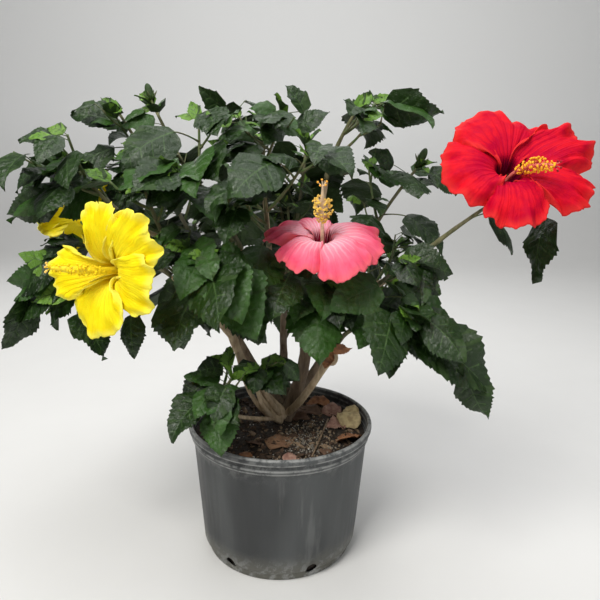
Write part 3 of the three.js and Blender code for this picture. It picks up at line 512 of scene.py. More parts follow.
@dataclass(frozen=True)
class PetalFinish:
    """A silky petal: its colour, throat, rays and edge follow the petal's own length and width."""

    name: str
    colour: Colour
    deep: Colour
    throat: Colour
    throat_end: float
    ray: Colour
    ray_end: float
    ray_strength: float
    edge: Colour
    edge_strength: float
    veins: float = 0.35

    def material(self) -> Material:
        """Makes the material."""
        n = Nodes(self.name)
        u, v = n.mark("along"), n.mark("across")
        drift = n.noise(55, 3)
        lines = n.step(n.math("SINE", n.math("MULTIPLY_ADD", v, 34.0, n.times(drift, 7.0))), 0.35, 1.0)
        hairs = n.math("SINE", n.math("MULTIPLY_ADD", v, 95.0, n.times(drift, 12.0)))
        tissue = n.blend(n.step(drift, 0.35, 0.7), self.colour, self.deep)
        fade = n.step(u, self.ray_end, self.throat_end, 0, self.ray_strength)
        rayed = n.blend(n.times(fade, n.math("MULTIPLY_ADD", lines, 0.62, 0.38)), tissue, self.ray)
        veined = n.blend(n.times(lines, n.step(u, 1.0, 0.3, 0.0, self.veins)), rayed, self.deep)
        rim = n.math("MAXIMUM", n.step(u, 0.86, 1.0), n.step(n.math("ABSOLUTE", v), 0.8, 1.0))
        edged = n.blend(n.times(rim, self.edge_strength), veined, self.edge)
        ragged = n.plus(u, n.times(n.math("SUBTRACT", lines, 0.5), 0.05))
        return n.finish(
            Base_Color=n.blend(n.step(ragged, self.throat_end, self.throat_end * 0.62), edged, self.throat),
            Roughness=0.62,
            Specular_IOR_Level=0.06,
            Subsurface_Weight=0.1,
            Subsurface_Radius=(0.004, 0.002, 0.001),
            Normal=n.bump(n.plus(n.times(lines, 0.6), n.times(hairs, 0.2)), 0.0006, 0.7),
        )


@dataclass(frozen=True)
class PlainFinish:
    """A small part's colour with a slight mottle."""

    name: str
    colour: Colour
    mottle: Colour
    roughness: float = 0.6
    scale: float = 160.0

    def material(self) -> Material:
        """Makes the material."""
        n = Nodes(self.name)
        grain = n.noise(self.scale, 4)
        return n.finish(
            Base_Color=n.blend(n.step(grain, 0.35, 0.68), self.colour, self.mottle),
            Roughness=self.roughness,
            Specular_IOR_Level=0.35,
            Normal=n.bump(grain, 0.0005, 0.6),
        )


@dataclass(frozen=True)
class PotFinish:
    """Weathered nursery plastic: dark grey, dusty, with pale runs under the rim and a chalky foot."""

    name: str = "pot_plastic"
    colour: Colour = (0.026, 0.028, 0.029)
    dusty: Colour = (0.078, 0.083, 0.084)
    chalk: Colour = (0.3, 0.305, 0.295)
    film: Colour = (0.165, 0.16, 0.13)
    edges: tuple[float, ...] = (0.1632, 0.1685, 0.1775, 0.1848)

    def material(self) -> Material:
        """Makes the material."""
        n = Nodes(self.name)
        height = n.node("ShaderNodeSeparateXYZ", Vector=n.place()).outputs[2]
        runs = n.noise(26, 5, 0.62, (1, 1, 0.12))
        spots = n.noise(70, 5, 0.7)
        broad = n.noise(9, 3, 0.5, (1, 1, 0.35))
        body = n.blend(n.step(broad, 0.36, 0.68, 0.1, 0.95), self.colour, self.dusty)
        foot = n.step(n.plus(height, n.times(spots, 0.04)), 0.066, 0.022)
        film = n.blend(n.times(foot, 0.7), body, self.film)
        rim = n.step(n.math("SUBTRACT", height, n.times(runs, 0.03)), 0.128, 0.158)
        marks = n.times(n.step(spots, 0.47, 0.62), n.plus(n.times(foot, 0.95), n.times(rim, 0.34)))
        streaks = n.times(n.step(runs, 0.6, 0.72), 0.2)
        worn = n.times(n.step(spots, 0.33, 0.55), 0.95)
        for edge in self.edges:
            near = n.step(n.math("ABSOLUTE", n.math("SUBTRACT", height, edge)), 0.0024, 0.0004)
            marks = n.math("MAXIMUM", marks, n.times(near, worn))
        return n.finish(
            Base_Color=n.blend(n.math("MAXIMUM", marks, streaks), film, self.chalk),
            Roughness=n.step(runs, 0.3, 0.7, 0.42, 0.66),
            Specular_IOR_Level=0.42,
            Normal=n.bump(n.plus(n.times(n.noise(420, 4, 0.6), 0.35), spots), 0.00035, 0.6),
        )


class Tone(Enum):
    """The leaf colours of a spray, by material slot."""

    DARK = 0
    MIDDLE = 1
    BRIGHT = 2
    YOUNG = 3
    UNDER = 4
    VEIN = 5


# DARK, MIDDLE and BRIGHT are one green at three strengths, dealt out partly at random and partly as painted light and
# painted shade by spray_tone.
LEAF_FINISHES = {
    Tone.DARK: LeafFinish("leaf_dark", (0.0055, 0.0185, 0.0015), (0.0088, 0.0255, 0.0025), 0.34, 0.46),
    Tone.MIDDLE: LeafFinish("leaf_green", (0.01, 0.0325, 0.0026), (0.0148, 0.042, 0.0042), 0.36, 0.46),
    Tone.BRIGHT: LeafFinish("leaf_bright", (0.027, 0.083, 0.009), (0.038, 0.102, 0.013), 0.4),
    Tone.YOUNG: LeafFinish("leaf_young", (0.115, 0.25, 0.025), (0.16, 0.3, 0.036), 0.46),
    Tone.UNDER: LeafFinish("leaf_underside", (0.03, 0.065, 0.014), (0.04, 0.076, 0.02), 0.55, 0.3),
    Tone.VEIN: LeafFinish("leaf_vein", (0.05, 0.1, 0.026), (0.062, 0.12, 0.033), 0.42),
}
GREEN_WOOD = PlainFinish("green_wood", (0.075, 0.13, 0.035), (0.13, 0.125, 0.06), 0.55, 130.0)
TAN_BARK = BarkFinish("tan_bark", (0.7, 0.56, 0.38), (0.3, 0.215, 0.125))
YOUNG_BARK = BarkFinish("young_bark", (0.22, 0.21, 0.11), (0.075, 0.085, 0.035), 1.2)
# Painted shade: a darker copy of the tan bark, for the trunk under the crown and the boughs at the back.
SHADED_BARK = BarkFinish("shaded_bark", (0.34, 0.26, 0.18), (0.095, 0.066, 0.043), 0.8)
DRY_RUST = PlainFinish("dry_rust", (0.36, 0.16, 0.07), (0.19, 0.085, 0.045), 0.8, 120.0)
CUT_WOOD = PlainFinish("cut_wood", (0.36, 0.2, 0.11), (0.2, 0.1, 0.055), 0.75, 220.0)

RED = PetalFinish(
    "petal_red", (0.67, 0.006, 0.017), (0.47, 0.0, 0.022), (0.15, 0.0, 0.022), 0.19,
    (0.36, 0.0, 0.05), 0.72, 0.65, (0.85, 0.045, 0.035), 0.6, 0.6,
)
PINK = PetalFinish(
    "petal_pink", (0.92, 0.14, 0.235), (0.86, 0.08, 0.165), (0.3, 0.002, 0.03), 0.17,
    (0.98, 0.84, 0.92), 0.86, 1.0, (0.93, 0.18, 0.17), 0.5,
)
YELLOW = PetalFinish(
    "petal_yellow", (0.94, 0.77, 0.012), (0.89, 0.68, 0.004), (0.83, 0.6, 0.003), 0.15,
    (0.96, 0.82, 0.09), 0.6, 0.5, (0.97, 0.9, 0.16), 0.6, 0.5,
)


# The plant's plan, with the source's own numbers

POT_HEIGHT = 186.0
RIM_RADIUS = 127.0
SOIL_LEVEL = 169.0
MOUND = 5.0
MOUND_RADIUS = 62.0
GAP = 0.3
CROWN = np.array([6.0, 24.0, SOIL_LEVEL + MOUND + GAP])

LEAF_SPACING = 24.0
BACK_SPACING = 28.0
PETIOLE = 0.42
LEAF_WIDTH = 0.78
LEAF_CLEARANCE = 0.15
LIMB_CLEARANCE = 7.0
SPACE_SLACK = 32.0
LIGHT = np.array([0.0, -1.0, 0.0])
LEAF_PULL = 0.35
LIGHT_PULL = 1.0
TRIES = 9


@dataclass(frozen=True)
class Limb:
    """A tapering limb along a quadratic curve, its foot inside its parent."""

    name: str
    foot: Point
    bend: Point
    tip: Point
    radii: Pair

    def arc(self) -> Arc:
        """The limb's curve."""
        return Arc(np.array(self.foot), np.array(self.bend), np.array(self.tip))


@dataclass(frozen=True)
class Mass:
    """A foliage mass: its limb, its leader's tip, its side shoots, its leaves' length and droop, and its seed."""

    name: str
    limb: str
    tip: Point
    shoots: int
    blade: float
    droop: float
    seed: int
    root: float = 1.0
    leaf_from: float = 0.3
    back: bool = False
    buds: int = 0


@dataclass(frozen=True)
class Bloom:
    """A bloom: the mass that carries it, its throat, the way it faces, and the source's petal and column sizes.

    petals holds each petal's angle, length and width, where they aren't even.
    """

    name: str
    mass: str
    throat: Point
    faces: Point
    reach: float
    lift: float
    belly: float
    column: float
    lean: Point
    turn: float
    finish: PetalFinish
    slot: str
    pollen: Colour
    filament: Colour
    stigma: Colour
    anthers: Pair
    thread: float
    root: float = 1.0
    petals: tuple[Point, ...] = ()
    thick: float = 1.0


LIMBS = [
    Limb("trunk", tuple(CROWN), (44, 22, 262), (32, 8, 352), (15, 8.5)),
    Limb("bough_right", (8, 20, 182), (34, -14, 214), (74, -22, 300), (8, 6.5)),
    Limb("bough_left", (4, 20, 180), (-50, -8, 242), (-66, -22, 318), (8.5, 6)),
    Limb("bough_low_centre", (2, 18, 178), (-20, -8, 212), (-31, -38, 264), (5, 3.4)),
    Limb("bough_sprig", (4, 14, 179), (-24, -30, 190), (-72, -72, 222), (4.2, 2.8)),
    Limb("bough_back_left", (3, 29, 186), (-62, 52, 260), (-116, 76, 388), (8, 4.6)),
    Limb("bough_back", (10, 32, 192), (-6, 92, 262), (4, 104, 372), (7.5, 4.8)),
    Limb("bough_back_right", (14, 28, 200), (84, 60, 270), (104, 72, 380), (7.5, 4.6)),
    Limb("bough_left_rise", (35, 14, 322), (-30, 0, 372), (-52, -14, 424), (6, 4)),
    Limb("bough_centre_rise", (-16, 2, 378), (-16, 14, 420), (-24, 12, 486), (4.4, 3.4)),
    Limb("bough_right_rise", (36, 14, 330), (44, 34, 420), (56, 22, 512), (6, 3.8)),
    Limb("bough_red", (34, 12, 342), (124, -24, 368), (176, -52, 430), (6, 3.8)),
    Limb("bough_far_left", (-62, -18, 300), (-104, -6, 408), (-192, -22, 462), (5.4, 3.6)),
    Limb("bough_low_left", (-65, -21, 309), (-88, -58, 352), (-134, -56, 396), (4.6, 3.4)),
]

THIN_STEMS = {
    "stem_left": Limb("bough_left", (-2, 12, 175), (-42, -24, 202), (-58, -20, 288), (4.6, 3.2)),
    "stem_middle": Limb("bough_low_centre", (0, 8, 175), (-30, -34, 204), (-34, -34, 268), (4.2, 3.0)),
    "stem_inner": Limb("bough_left", (-4, 10, 175), (-20, -22, 212), (-48, -16, 262), (3.8, 2.8)),
}

MASSES = [
    Mass("foliage_top_right", "bough_right_rise", (92, 11, 600), 2, 96, 0.35, 11, leaf_from=0.45),
    Mass("foliage_far_left", "bough_far_left", (-257, -25, 527), 3, 76, 0.7, 26),
    Mass("foliage_left_centre", "bough_left", (-108, -78, 434), 4, 98, 0.8, 7),
    Mass("foliage_right_low", "bough_right", (160, -86, 355), 2, 100, 0.9, 52, leaf_from=0.5),
    Mass("foliage_red_spray", "bough_red", (238, -87, 491), 0, 80, 1.1, 26, leaf_from=0.72),
    Mass("foliage_centre_front", "trunk", (52, -58, 394), 3, 92, 0.6, 31),
    Mass("foliage_low_left", "bough_low_left", (-264, -48, 362), 4, 88, 1.1, 37),
    Mass("foliage_sprig", "bough_sprig", (-57, -91, 277), 2, 64, 0.9, 49),
    Mass("foliage_low_centre", "bough_low_centre", (-30, -64, 278), 1, 70, 0.7, 6),
    Mass("foliage_left_inner", "bough_far_left", (-158, -72, 500), 3, 88, 0.7, 35, root=0.7),
    Mass("foliage_upper_left", "bough_left_rise", (-122, -59, 541), 3, 94, 0.5, 8),
    Mass("foliage_centre", "bough_centre_rise", (-18, -78, 500), 3, 94, 0.6, 33, root=0.5),
    Mass("foliage_top_centre", "bough_centre_rise", (-24, 11, 577), 3, 92, 0.4, 3),
    Mass("foliage_bud_spray", "bough_left_rise", (-172, 44, 603), 1, 76, 0.3, 41, root=0.8, buds=2),
    Mass("foliage_right_mid", "bough_red", (140, -66, 414), 1, 92, 0.8, 13, leaf_from=0.4, root=0.5),
    Mass("foliage_right_upper", "bough_back_right", (176, 36, 528), 1, 84, 0.5, 53, leaf_from=0.5, buds=1),
    Mass("foliage_top_left", "bough_back_left", (-222, 58, 594), 3, 84, 0.4, 25),
    Mass("foliage_back_left", "bough_back_left", (-199, 132, 450), 3, 88, 0.8, 10, root=0.7, back=True),
    Mass("foliage_back_centre", "bough_back", (-16, 176, 484), 4, 90, 0.8, 21, back=True),
    Mass("foliage_back_right", "bough_back_right", (164, 144, 388), 3, 88, 0.8, 37, root=0.6, back=True),
    Mass("foliage_back_top", "bough_back", (30, 96, 556), 3, 86, 0.5, 23, root=0.8, back=True),
    Mass("foliage_back_low", "bough_back", (34, 178, 330), 2, 86, 0.9, 27, root=0.5, back=True),
]

EYE = (24.4, -779.06, 547.09)
# Where the crown is open, as seen from the eye: a point and a radius
OPENINGS = [
    ((165, 0, 473), 34), ((203, -60, 276), 26), ((121, -20, 267), 17), ((-250, 0, 569), 30),
    ((-146, 0, 561), 31), ((-334, 0, 543), 28), ((76, 0, 568), 20), ((136, 0, 563), 33),
    ((-36, -50, 234), 24), ((99, -40, 277), 14), ((-298, -20, 452), 15), ((-308, -50, 361), 15),
]


@dataclass(frozen=True)
class ShownLeaf:
    """A leaf that the photograph shows by itself: its mass, the base and tip of its blade, and its face's turn."""

    mass: str
    base: Point
    tip: Point
    turn: float = 0.0
    tone: Tone = Tone.MIDDLE


SHOWN_LEAVES = [
    ShownLeaf("foliage_far_left", (-281, -30, 484), (-338, -36, 466), -0.3, Tone.MIDDLE),
    ShownLeaf("foliage_low_left", (-266, -60, 402), (-315, -72, 423), 0.6, Tone.YOUNG),
    ShownLeaf("foliage_low_left", (-257, -70, 377), (-298, -82, 370), 0.5, Tone.YOUNG),
    ShownLeaf("foliage_low_left", (-280, -62, 395), (-330, -72, 391), -0.4, Tone.BRIGHT),
    ShownLeaf("foliage_centre_front", (118, -82, 394), (58, -104, 372), 0.3, Tone.BRIGHT),
    ShownLeaf("foliage_red_spray", (299, -104, 480), (295, -104, 408), 1.3),
    ShownLeaf("foliage_low_left", (-246, -80, 352), (-206, -98, 303), -0.8),
    ShownLeaf("foliage_low_left", (-180, -78, 352), (-173, -94, 302), 0.8),
    ShownLeaf("foliage_low_left", (-312, -58, 366), (-338, -82, 306), -1.1),
    ShownLeaf("foliage_right_low", (226, -98, 290), (249, -108, 236), 0.2),
    ShownLeaf("foliage_right_mid", (146, -62, 422), (207, -82, 414), 0.1),
    ShownLeaf("foliage_left_centre", (-130, -82, 372), (-118, -98, 312), 0.2),
    ShownLeaf("foliage_top_centre", (26, 5, 595), (1, 5, 626), 0.9),
    ShownLeaf("foliage_top_centre", (17, 0, 576), (57, -5, 595), -0.7),
    ShownLeaf("foliage_top_right", (126, 8, 609), (197, 0, 587), 0.6),
    ShownLeaf("foliage_top_left", (-217, 30, 581), (-274, 22, 590), 0.7),
    ShownLeaf("foliage_upper_left", (-72, -10, 597), (-101, -12, 623), -0.9),
    ShownLeaf("foliage_right_upper", (143, 20, 532), (111, 10, 551), 0.8),
]

TUBE_DEPTH = 16.0
CALYX_LENGTH = 24.0
THROAT_RADIUS = 6.0

BLOOMS = [
    Bloom(
        "bloom_red", "foliage_red_spray", (242, -130, 525), (0.02, -0.7, 0.71),
        100, 16, 13, 64, (0.93, -0.31, -1.02), 0.5,
        RED, "red_petal", (0.85, 0.42, 0.02), (0.85, 0.2, 0.16), (0.3, 0.004, 0.012), (0.4, 0.95), 8.0,
        petals=((0.52, 1.08, 0.6), (1.64, 0.89, 1.3), (3.2, 0.74, 1.32), (4.65, 0.8, 0.79), (5.81, 0.84, 0.6)),
    ),
    Bloom(
        "bloom_pink", "foliage_centre_front", (49, -92, 448), (-0.05, -0.44, 0.89),
        76, -4, 13, 76, (0.02, -0.3, 0.03), 0.3,
        PINK, "pink_petal", (0.8, 0.52, 0.1), (0.92, 0.7, 0.46), (0.88, 0.42, 0.05), (0.46, 0.78), 12.5,
        petals=((-0.97, 0.84, 0.96), (0.15, 0.95, 0.82), (1.83, 0.79, 0.86), (2.62, 1.03, 0.65), (3.82, 0.72, 1.16)),
        thick=0.95,
    ),
    Bloom(
        "bloom_yellow", "foliage_low_left", (-186, -112, 413), (-0.48, -0.87, 0.1),
        78, 34, 10, 72, (-0.65, 0.35, 0.13), 0.9,
        YELLOW, "yellow_petal", (0.93, 0.64, 0.01), (0.94, 0.72, 0.02), (0.93, 0.6, 0.14), (0.28, 0.96), 6.5, 0.3,
        petals=((0.1, 1.2, 0.74), (0.94, 0.97, 0.64), (2.77, 0.89, 0.86), (4.25, 0.98, 1.15), (5.64, 1.04, 0.85)),
        thick=1.9,
    ),
    Bloom(
        "bloom_yellow_back", "foliage_back_left", (-288, 92, 448), (-0.62, 0.7, 0.35),
        66, 16, 10, 62, (0, 0, 0.2), 0.2,
        YELLOW, "yellow_petal", (0.93, 0.6, 0.01), (0.93, 0.66, 0.03), (0.9, 0.5, 0.02), (0.42, 0.93), 5.0,
    ),
]


# Growth


@dataclass
class Leaf:
    """One leaf: where its petiole leaves the shoot, its blade's base, first and last heading, side and length."""

    root: Array
    base: Array
    heading: Array
    ending: Array
    side: Array
    length: float
    tone: Tone = Tone.MIDDLE
    young: bool = False

    def stations(self) -> Array:
        """The midrib at 0, 0.34, 0.68 and 1 of its length, each step along the blend of both headings."""
        shares = np.array([0, 0.34, 0.68, 1])
        middle = ((shares[1:] + shares[:-1]) / 2)[:, None]
        steps = unit(mix(self.heading, self.ending, middle)) * np.diff(shares)[:, None] * self.length
        return np.concatenate([self.base[None], self.base + np.cumsum(steps, axis=0)])

    def marks(self) -> Array:
        """The points of the blade that are kept clear of other things."""
        foot, wide, narrow, tip = self.stations()
        half = self.length * LEAF_WIDTH * 0.42
        return np.array([mix(foot, wide, 0.4), wide, wide + self.side * half, wide - self.side * half, narrow, tip])

    def square_up(self) -> None:
        """Makes the side square to the heading."""
        self.side = square_to(self.side, self.heading)


@dataclass
class Shoot:
    """A shoot or finer twig: its curve, radii, leaves and colour."""

    arc: Arc
    radii: Pair
    reach: float
    leaf_from: float
    leader: bool = False
    leaves: list[Leaf] = field(default_factory=list)
    tone: Tone = Tone.MIDDLE


def from_crown(at: Array) -> Array:
    """The level way out from the root crown."""
    return unit(np.array([at[0] - CROWN[0], at[1] - CROWN[1], 0.0]))


def level_way(turn: float) -> Array:
    """The level direction at an angle about +Z."""
    return np.array([math.cos(turn), math.sin(turn), 0.0])


def clear_of(points: Array, starts: Array, ends: Array, first: Array, last: Array) -> Array:
    """How far each point lies from each straight stretch, less the stretch's own radius there.

    Args:
        points: Shape (m, 3).
        starts: Where each stretch starts, shape (n, 3).
        ends: Where it ends.
        first: Its radius at the start, shape (n,).
        last: Its radius at the end.

    Returns:
        The clearances, shape (m, n).
    """
    run = ends - starts
    share = np.einsum("mnc,nc->mn", points[:, None] - starts, run) / np.maximum(np.sum(run * run, axis=-1), 1e-9)
    share = np.clip(share, 0, 1)
    nearest = starts + run * share[..., None]
    return np.linalg.norm(points[:, None] - nearest, axis=-1) - (first + (last - first) * share)


class Growth:
    """Grows the crown by the source's rule, then carries it on to finer twigs."""

    LIMB_STEPS = 4

    def __init__(self) -> None:
        """Lays out the limbs, the leaders and each mass's limits."""
        self.limb_arcs = {limb.name: limb.arc() for limb in LIMBS}
        share = np.linspace(0, 1, self.LIMB_STEPS + 1)
        lines = [self.limb_arcs[limb.name].at(share) for limb in LIMBS]
        radii = [mix(limb.radii[0], limb.radii[1], share) for limb in LIMBS]
        self.limb_runs = self.stretches(lines, radii)
        self.leaders = {mass.name: self.leader(mass) for mass in MASSES}
        paths = [arc.at(np.linspace(0, 1, 4)) for arc in self.leaders.values()]
        self.leader_runs = self.stretches(paths, [np.zeros(4)] * len(paths))
        self.standing: list[Array] = []
        self.shoots: dict[str, list[Shoot]] = {}
        self.limits = {mass.name: self.box_of(mass) for mass in MASSES}

    @staticmethod
    def box_of(mass: Mass) -> tuple[Array, Array]:
        """The lowest and highest corner that a mass may reach, from its solid."""
        low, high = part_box(mass.name)
        return np.array(low) / MM - 5.0, np.array(high) / MM + 5.0

    @staticmethod
    def stretches(paths: list[Array], radii: list[Array]) -> tuple[Array, Array, Array, Array]:
        """The straight stretches of many paths: starts, ends and the radius at both."""
        return (
            np.concatenate([p[:-1] for p in paths]),
            np.concatenate([p[1:] for p in paths]),
            np.concatenate([r[:-1] for r in radii]),
            np.concatenate([r[1:] for r in radii]),
        )

    def leader(self, mass: Mass) -> Arc:
        """A mass's leader: on from its limb's tip, or out of the limb's side."""
        limb = self.limb_arcs[mass.limb]
        at, heading = limb.at(mass.root), limb.heading(mass.root)
        tip = np.array(mass.tip, dtype=float)
        reach = float(np.linalg.norm(tip - at))
        if mass.root < 1:
            return Arc(at, mix(at, tip, 0.5) - UP * 0.12 * reach, tip)
        foot = at + heading * GAP
        return Arc(foot, foot + heading * reach * 0.35, tip)

    def trespass(self, marks: Array, mass: Mass) -> float:
        """The most by which a mark is nearer to another mass's leader than to its own."""
        gaps = clear_of(marks, *self.leader_runs).reshape(len(marks), len(MASSES), 3).min(axis=-1)
        own = [m.name for m in MASSES].index(mass.name)
        others = np.delete(gaps, own, axis=1).min(axis=1)
        return float((gaps[:, own] - others).max())

    @staticmethod
    def inside_bloom(marks: Array, bloom: Bloom) -> bool:
        """Whether a mark is in the flat round space of a bloom's petals, or by its column or stalk."""
        faces = unit(np.array(bloom.faces))
        away = marks - np.array(bloom.throat)
        height = away @ faces
        radius = np.sqrt(np.maximum(0, np.sum(away * away, axis=-1) - height**2))
        petals = (radius < bloom.reach + 6) & (height > -16 - 0.1 * bloom.reach) & (height < 46)
        column = (radius < 24) & (height > 0) & (height < bloom.reach + 16)
        stalk = (radius < 14) & (height > -TUBE_DEPTH - CALYX_LENGTH - 14) & (height < 0)
        return bool((petals | column | stalk).any())

    def fits(self, leaf: Leaf, mass: Mass, crowd: float) -> bool:
        """Whether a leaf keeps to its mass's space, and as far as crowd from the marks of other leaves."""
        marks = leaf.marks()
        over_pot = (marks[:, 2] < POT_HEIGHT + 4) & (np.hypot(marks[:, 0], marks[:, 1]) < RIM_RADIUS + 6)
        if over_pot.any() or not self.out_of_the_way(marks, mass):
            return False
        if self.trespass(marks, mass) > SPACE_SLACK or clear_of(marks, *self.limb_runs).min() < LIMB_CLEARANCE:
            return False
        if self.standing:
            other = np.concatenate(self.standing)
            return bool(np.linalg.norm(other[:, None] - marks[None], axis=-1).min() >= crowd)
        return True

    @staticmethod
    def ways(at: Array, mass: Mass) -> tuple[Array, Array]:
        """The way out of the crown and the way that leaves face, both turned to the light except at the back."""
        out = from_crown(at)
        if mass.back:
            return out, unit(out * 0.5 + UP * 0.8 + out * 0.4)
        return unit(out + LIGHT * LEAF_PULL), unit(out * 0.5 + UP * 0.8 + LIGHT * LIGHT_PULL)

    @staticmethod
    def place_leaf(
        at: Array,
        along: Array,
        ways: tuple[Array, Array],
        turn: float,
        length: float,
        droop: float,
        roll: float,
        stem: float,
    ) -> Leaf:
        """A leaf that leaves a shoot by its turn about it, leans outward and hangs by its droop.

        Args:
            at: Where it leaves the shoot.
            along: The way the shoot runs there.
            ways: The way out of the crown and the way that its face turns to.
            turn: Its angle about the shoot.
            length: Its blade's length.
            droop: How strongly it hangs.
            roll: The blade's angle about its midrib.
            stem: Its petiole's length, of the blade's.

        Returns:
            The leaf.
        """
        outward, light = ways
        across = np.array([1.0, 0, 0]) if abs(along[2]) > 0.95 else unit(np.cross(UP, along))
        other = unit(np.cross(along, across))
        radial = across * math.cos(turn) + other * math.sin(turn)
        stalk = unit(radial * 0.95 + along * 0.45 + outward * 0.6 + UP * 0.15)
        flat = np.array([stalk[0], stalk[1], 0.0])
        level = unit(flat) if np.linalg.norm(flat) > 0.05 else outward
        stalk = unit(stalk + level * 0.8 * abs(stalk[2]))
        heading = unit(level + UP * (0.35 * stalk[2] - 0.1 - 0.5 * droop))
        ending = unit(heading + UP * (-0.25 - 0.7 * droop))
        side = unit(np.cross(heading, light) + np.cross(level, UP) * 0.25)
        turned = side * math.cos(roll) + np.cross(heading, side) * math.sin(roll)
        side = square_to(turned + heading * (heading @ side) * (1 - math.cos(roll)), heading)
        return Leaf(at.copy(), at + stalk * length * stem, heading, ending, side, length)

    def side_shoots(self, mass: Mass, dice: Dice) -> list[Shoot]:
        """A mass's leader and the side shoots that leave it by turns and rise towards the light."""
        main = self.leaders[mass.name]
        limb_end = self.limb_arcs[mass.limb].at(mass.root)
        main_reach = float(np.linalg.norm(main.tip - limb_end))
        shoots = [Shoot(main, (3.4, 1.9), main_reach, mass.leaf_from, leader=True)]
        for i in range(mass.shoots):
            share = 0.25 + (0.6 * (i + 0.5)) / mass.shoots
            at, heading = main.at(share), main.heading(share)
            turn = i * GOLDEN_ANGLE + mass.seed + dice.roll() * 0.8
            reach = (0.5 + 0.3 * dice.roll()) * min(main_reach, 110)
            lean = unit(level_way(turn) + from_crown(at) * 0.6 + heading * 0.55 + UP * 0.15)
            bend = at + lean * reach * 0.5
            tip = bend + unit(lean + UP * 0.7) * reach * 0.55
            shoots.append(Shoot(Arc(at, bend, tip), (2.2, 1.4), reach, 0.35))
        return shoots

    def out_of_the_way(self, marks: Array, mass: Mass) -> bool:
        """Whether marks are within the mass's limits and clear of every bloom."""
        low, high = self.limits[mass.name]
        if (marks < low).any() or (marks > high).any():
            return False
        return not any(self.inside_bloom(marks, bloom) for bloom in BLOOMS)

    def young_leaves(self, shoot: Shoot, mass: Mass, dice: Dice, count: int) -> list[Leaf]:
        """Young leaves round a shoot's tip, half folded and pointing onward."""
        heading = shoot.arc.heading(1)
        foot = shoot.arc.tip - heading * 1.5
        ways, leaves = self.ways(foot, mass), []
        for i in range(count):
            leaf = self.place_leaf(foot, heading, ways, i * 2.6 + mass.seed, 26 + 12 * dice.roll(), 0, 0, 0)
            leaf.heading = unit(leaf.heading + heading * 1.1)
            leaf.ending = leaf.heading
            leaf.square_up()
            leaf.young = True
            if self.out_of_the_way(leaf.marks(), mass):
                leaves.append(leaf)
        return leaves

    def rosette(self, shoot: Shoot, mass: Mass, dice: Dice) -> list[Leaf]:
        """The tuft of small leaves below a shoot's tip, smaller and steeper the nearer they are to it."""
        leaves = []
        for k in range(4):
            share = 0.86 + 0.04 * k
            at, heading = shoot.arc.at(share), shoot.arc.heading(share)
            length = (50 - 8.0 * k) * (0.85 + 0.3 * dice.roll())
            turn, roll = k * GOLDEN_ANGLE + mass.seed, dice.roll() - 0.5
            leaf = self.place_leaf(at, heading, self.ways(at, mass), turn, length, 0.1, roll, 0.25)
            leaf.heading = unit(leaf.heading + heading * (0.25 + 0.2 * k))
            leaf.square_up()
            leaf.tone = Tone.YOUNG if k > 2 else Tone.BRIGHT if k > 1 else shoot.tone
            if self.out_of_the_way(leaf.marks(), mass):
                leaves.append(leaf)
        return leaves

    def grow_leaves(
        self, shoot: Shoot, mass: Mass, dice: Dice, spacing: float, crowd: float, size: float = 1.0
    ) -> None:
        """Sets leaves up a shoot by turns. One that doesn't fit is turned, and left out if no turn helps.

        Args:
            shoot: The shoot.
            mass: Its mass.
            dice: The source of numbers.
            spacing: From leaf to leaf.
            crowd: The least distance to other leaves, of the blade's length.
            size: A factor on the blade's length.
        """
        count = max(2, round(shoot.reach * (1 - shoot.leaf_from) / spacing + 1e-9) + 1)
        for i in range(count):
            share = shoot.leaf_from + (0.97 - shoot.leaf_from) * i / (count - 1)
            at, heading = shoot.arc.at(share), shoot.arc.heading(share)
            blade = mass.blade * size * (0.78 + 0.34 * dice.roll()) * (0.6 if i >= count - 1 else 1)
            droop = mass.droop * (0.6 + 0.7 * dice.roll())
            lean = (dice.roll() - 0.5) * 0.7
            turn = i * GOLDEN_ANGLE + mass.seed * 1.7
            ways = self.ways(at, mass)
            for k in range(TRIES):
                swing = (1 if k % 2 else -1) * math.ceil(k / 2) * 0.55
                length, hang = blade * (1 - 0.05 * k), droop + 0.12 * (k % 3)
                leaf = self.place_leaf(at, heading, ways, turn + swing, length, hang, lean, PETIOLE)
                if self.fits(leaf, mass, crowd * leaf.length):
                    leaf.tone = shoot.tone
                    shoot.leaves.append(leaf)
                    self.standing.append(leaf.marks())
                    break

    def finer_twigs(self, mass: Mass, dice: Dice, shoots: list[Shoot]) -> list[Shoot]:
        """The twigs that leave a mass's shoots between their leaves, with a few smaller leaves each."""
        twigs = []
        for number, shoot in enumerate(shoots):
            share = 0.42 + 0.5 * dice.roll()
            at, heading = shoot.arc.at(share), shoot.arc.heading(share)
            turn = number * 1.3 + mass.seed + dice.roll()
            reach = 30 + 24 * dice.roll()
            lean = unit(level_way(turn) + self.ways(at, mass)[0] * 0.5 + heading * 0.5 + UP * 0.2)
            bend = at + lean * reach * 0.5
            twig = Shoot(Arc(at, bend, bend + unit(lean + UP * 0.5) * reach * 0.5), (1.5, 1.0), reach, 0.45)
            twig.tone = shoot.tone
            near = clear_of(twig.arc.at(np.array([0.6, 1.0])), *self.limb_runs).min() < 3
            if near or not self.out_of_the_way(twig.arc.at(np.array([0.5, 1.0])), mass):
                continue
            self.grow_leaves(twig, mass, dice, 17, 0.12, 0.8)
            if twig.leaves:
                twig.leaves += self.rosette(twig, mass, dice)[2:]
                twigs.append(twig)
        return twigs

    @staticmethod
    def shades_bloom(leaf: Leaf) -> bool:
        """Whether a leaf stands between a bloom's petals and the light at the front."""
        marks = leaf.marks()
        for bloom in BLOOMS[:3]:
            away = marks - np.array(bloom.throat)
            beside = np.hypot(away[:, 0], away[:, 2]) < bloom.reach * 0.85
            if (beside & (away[:, 1] < 5)).any():
                return True
        return False

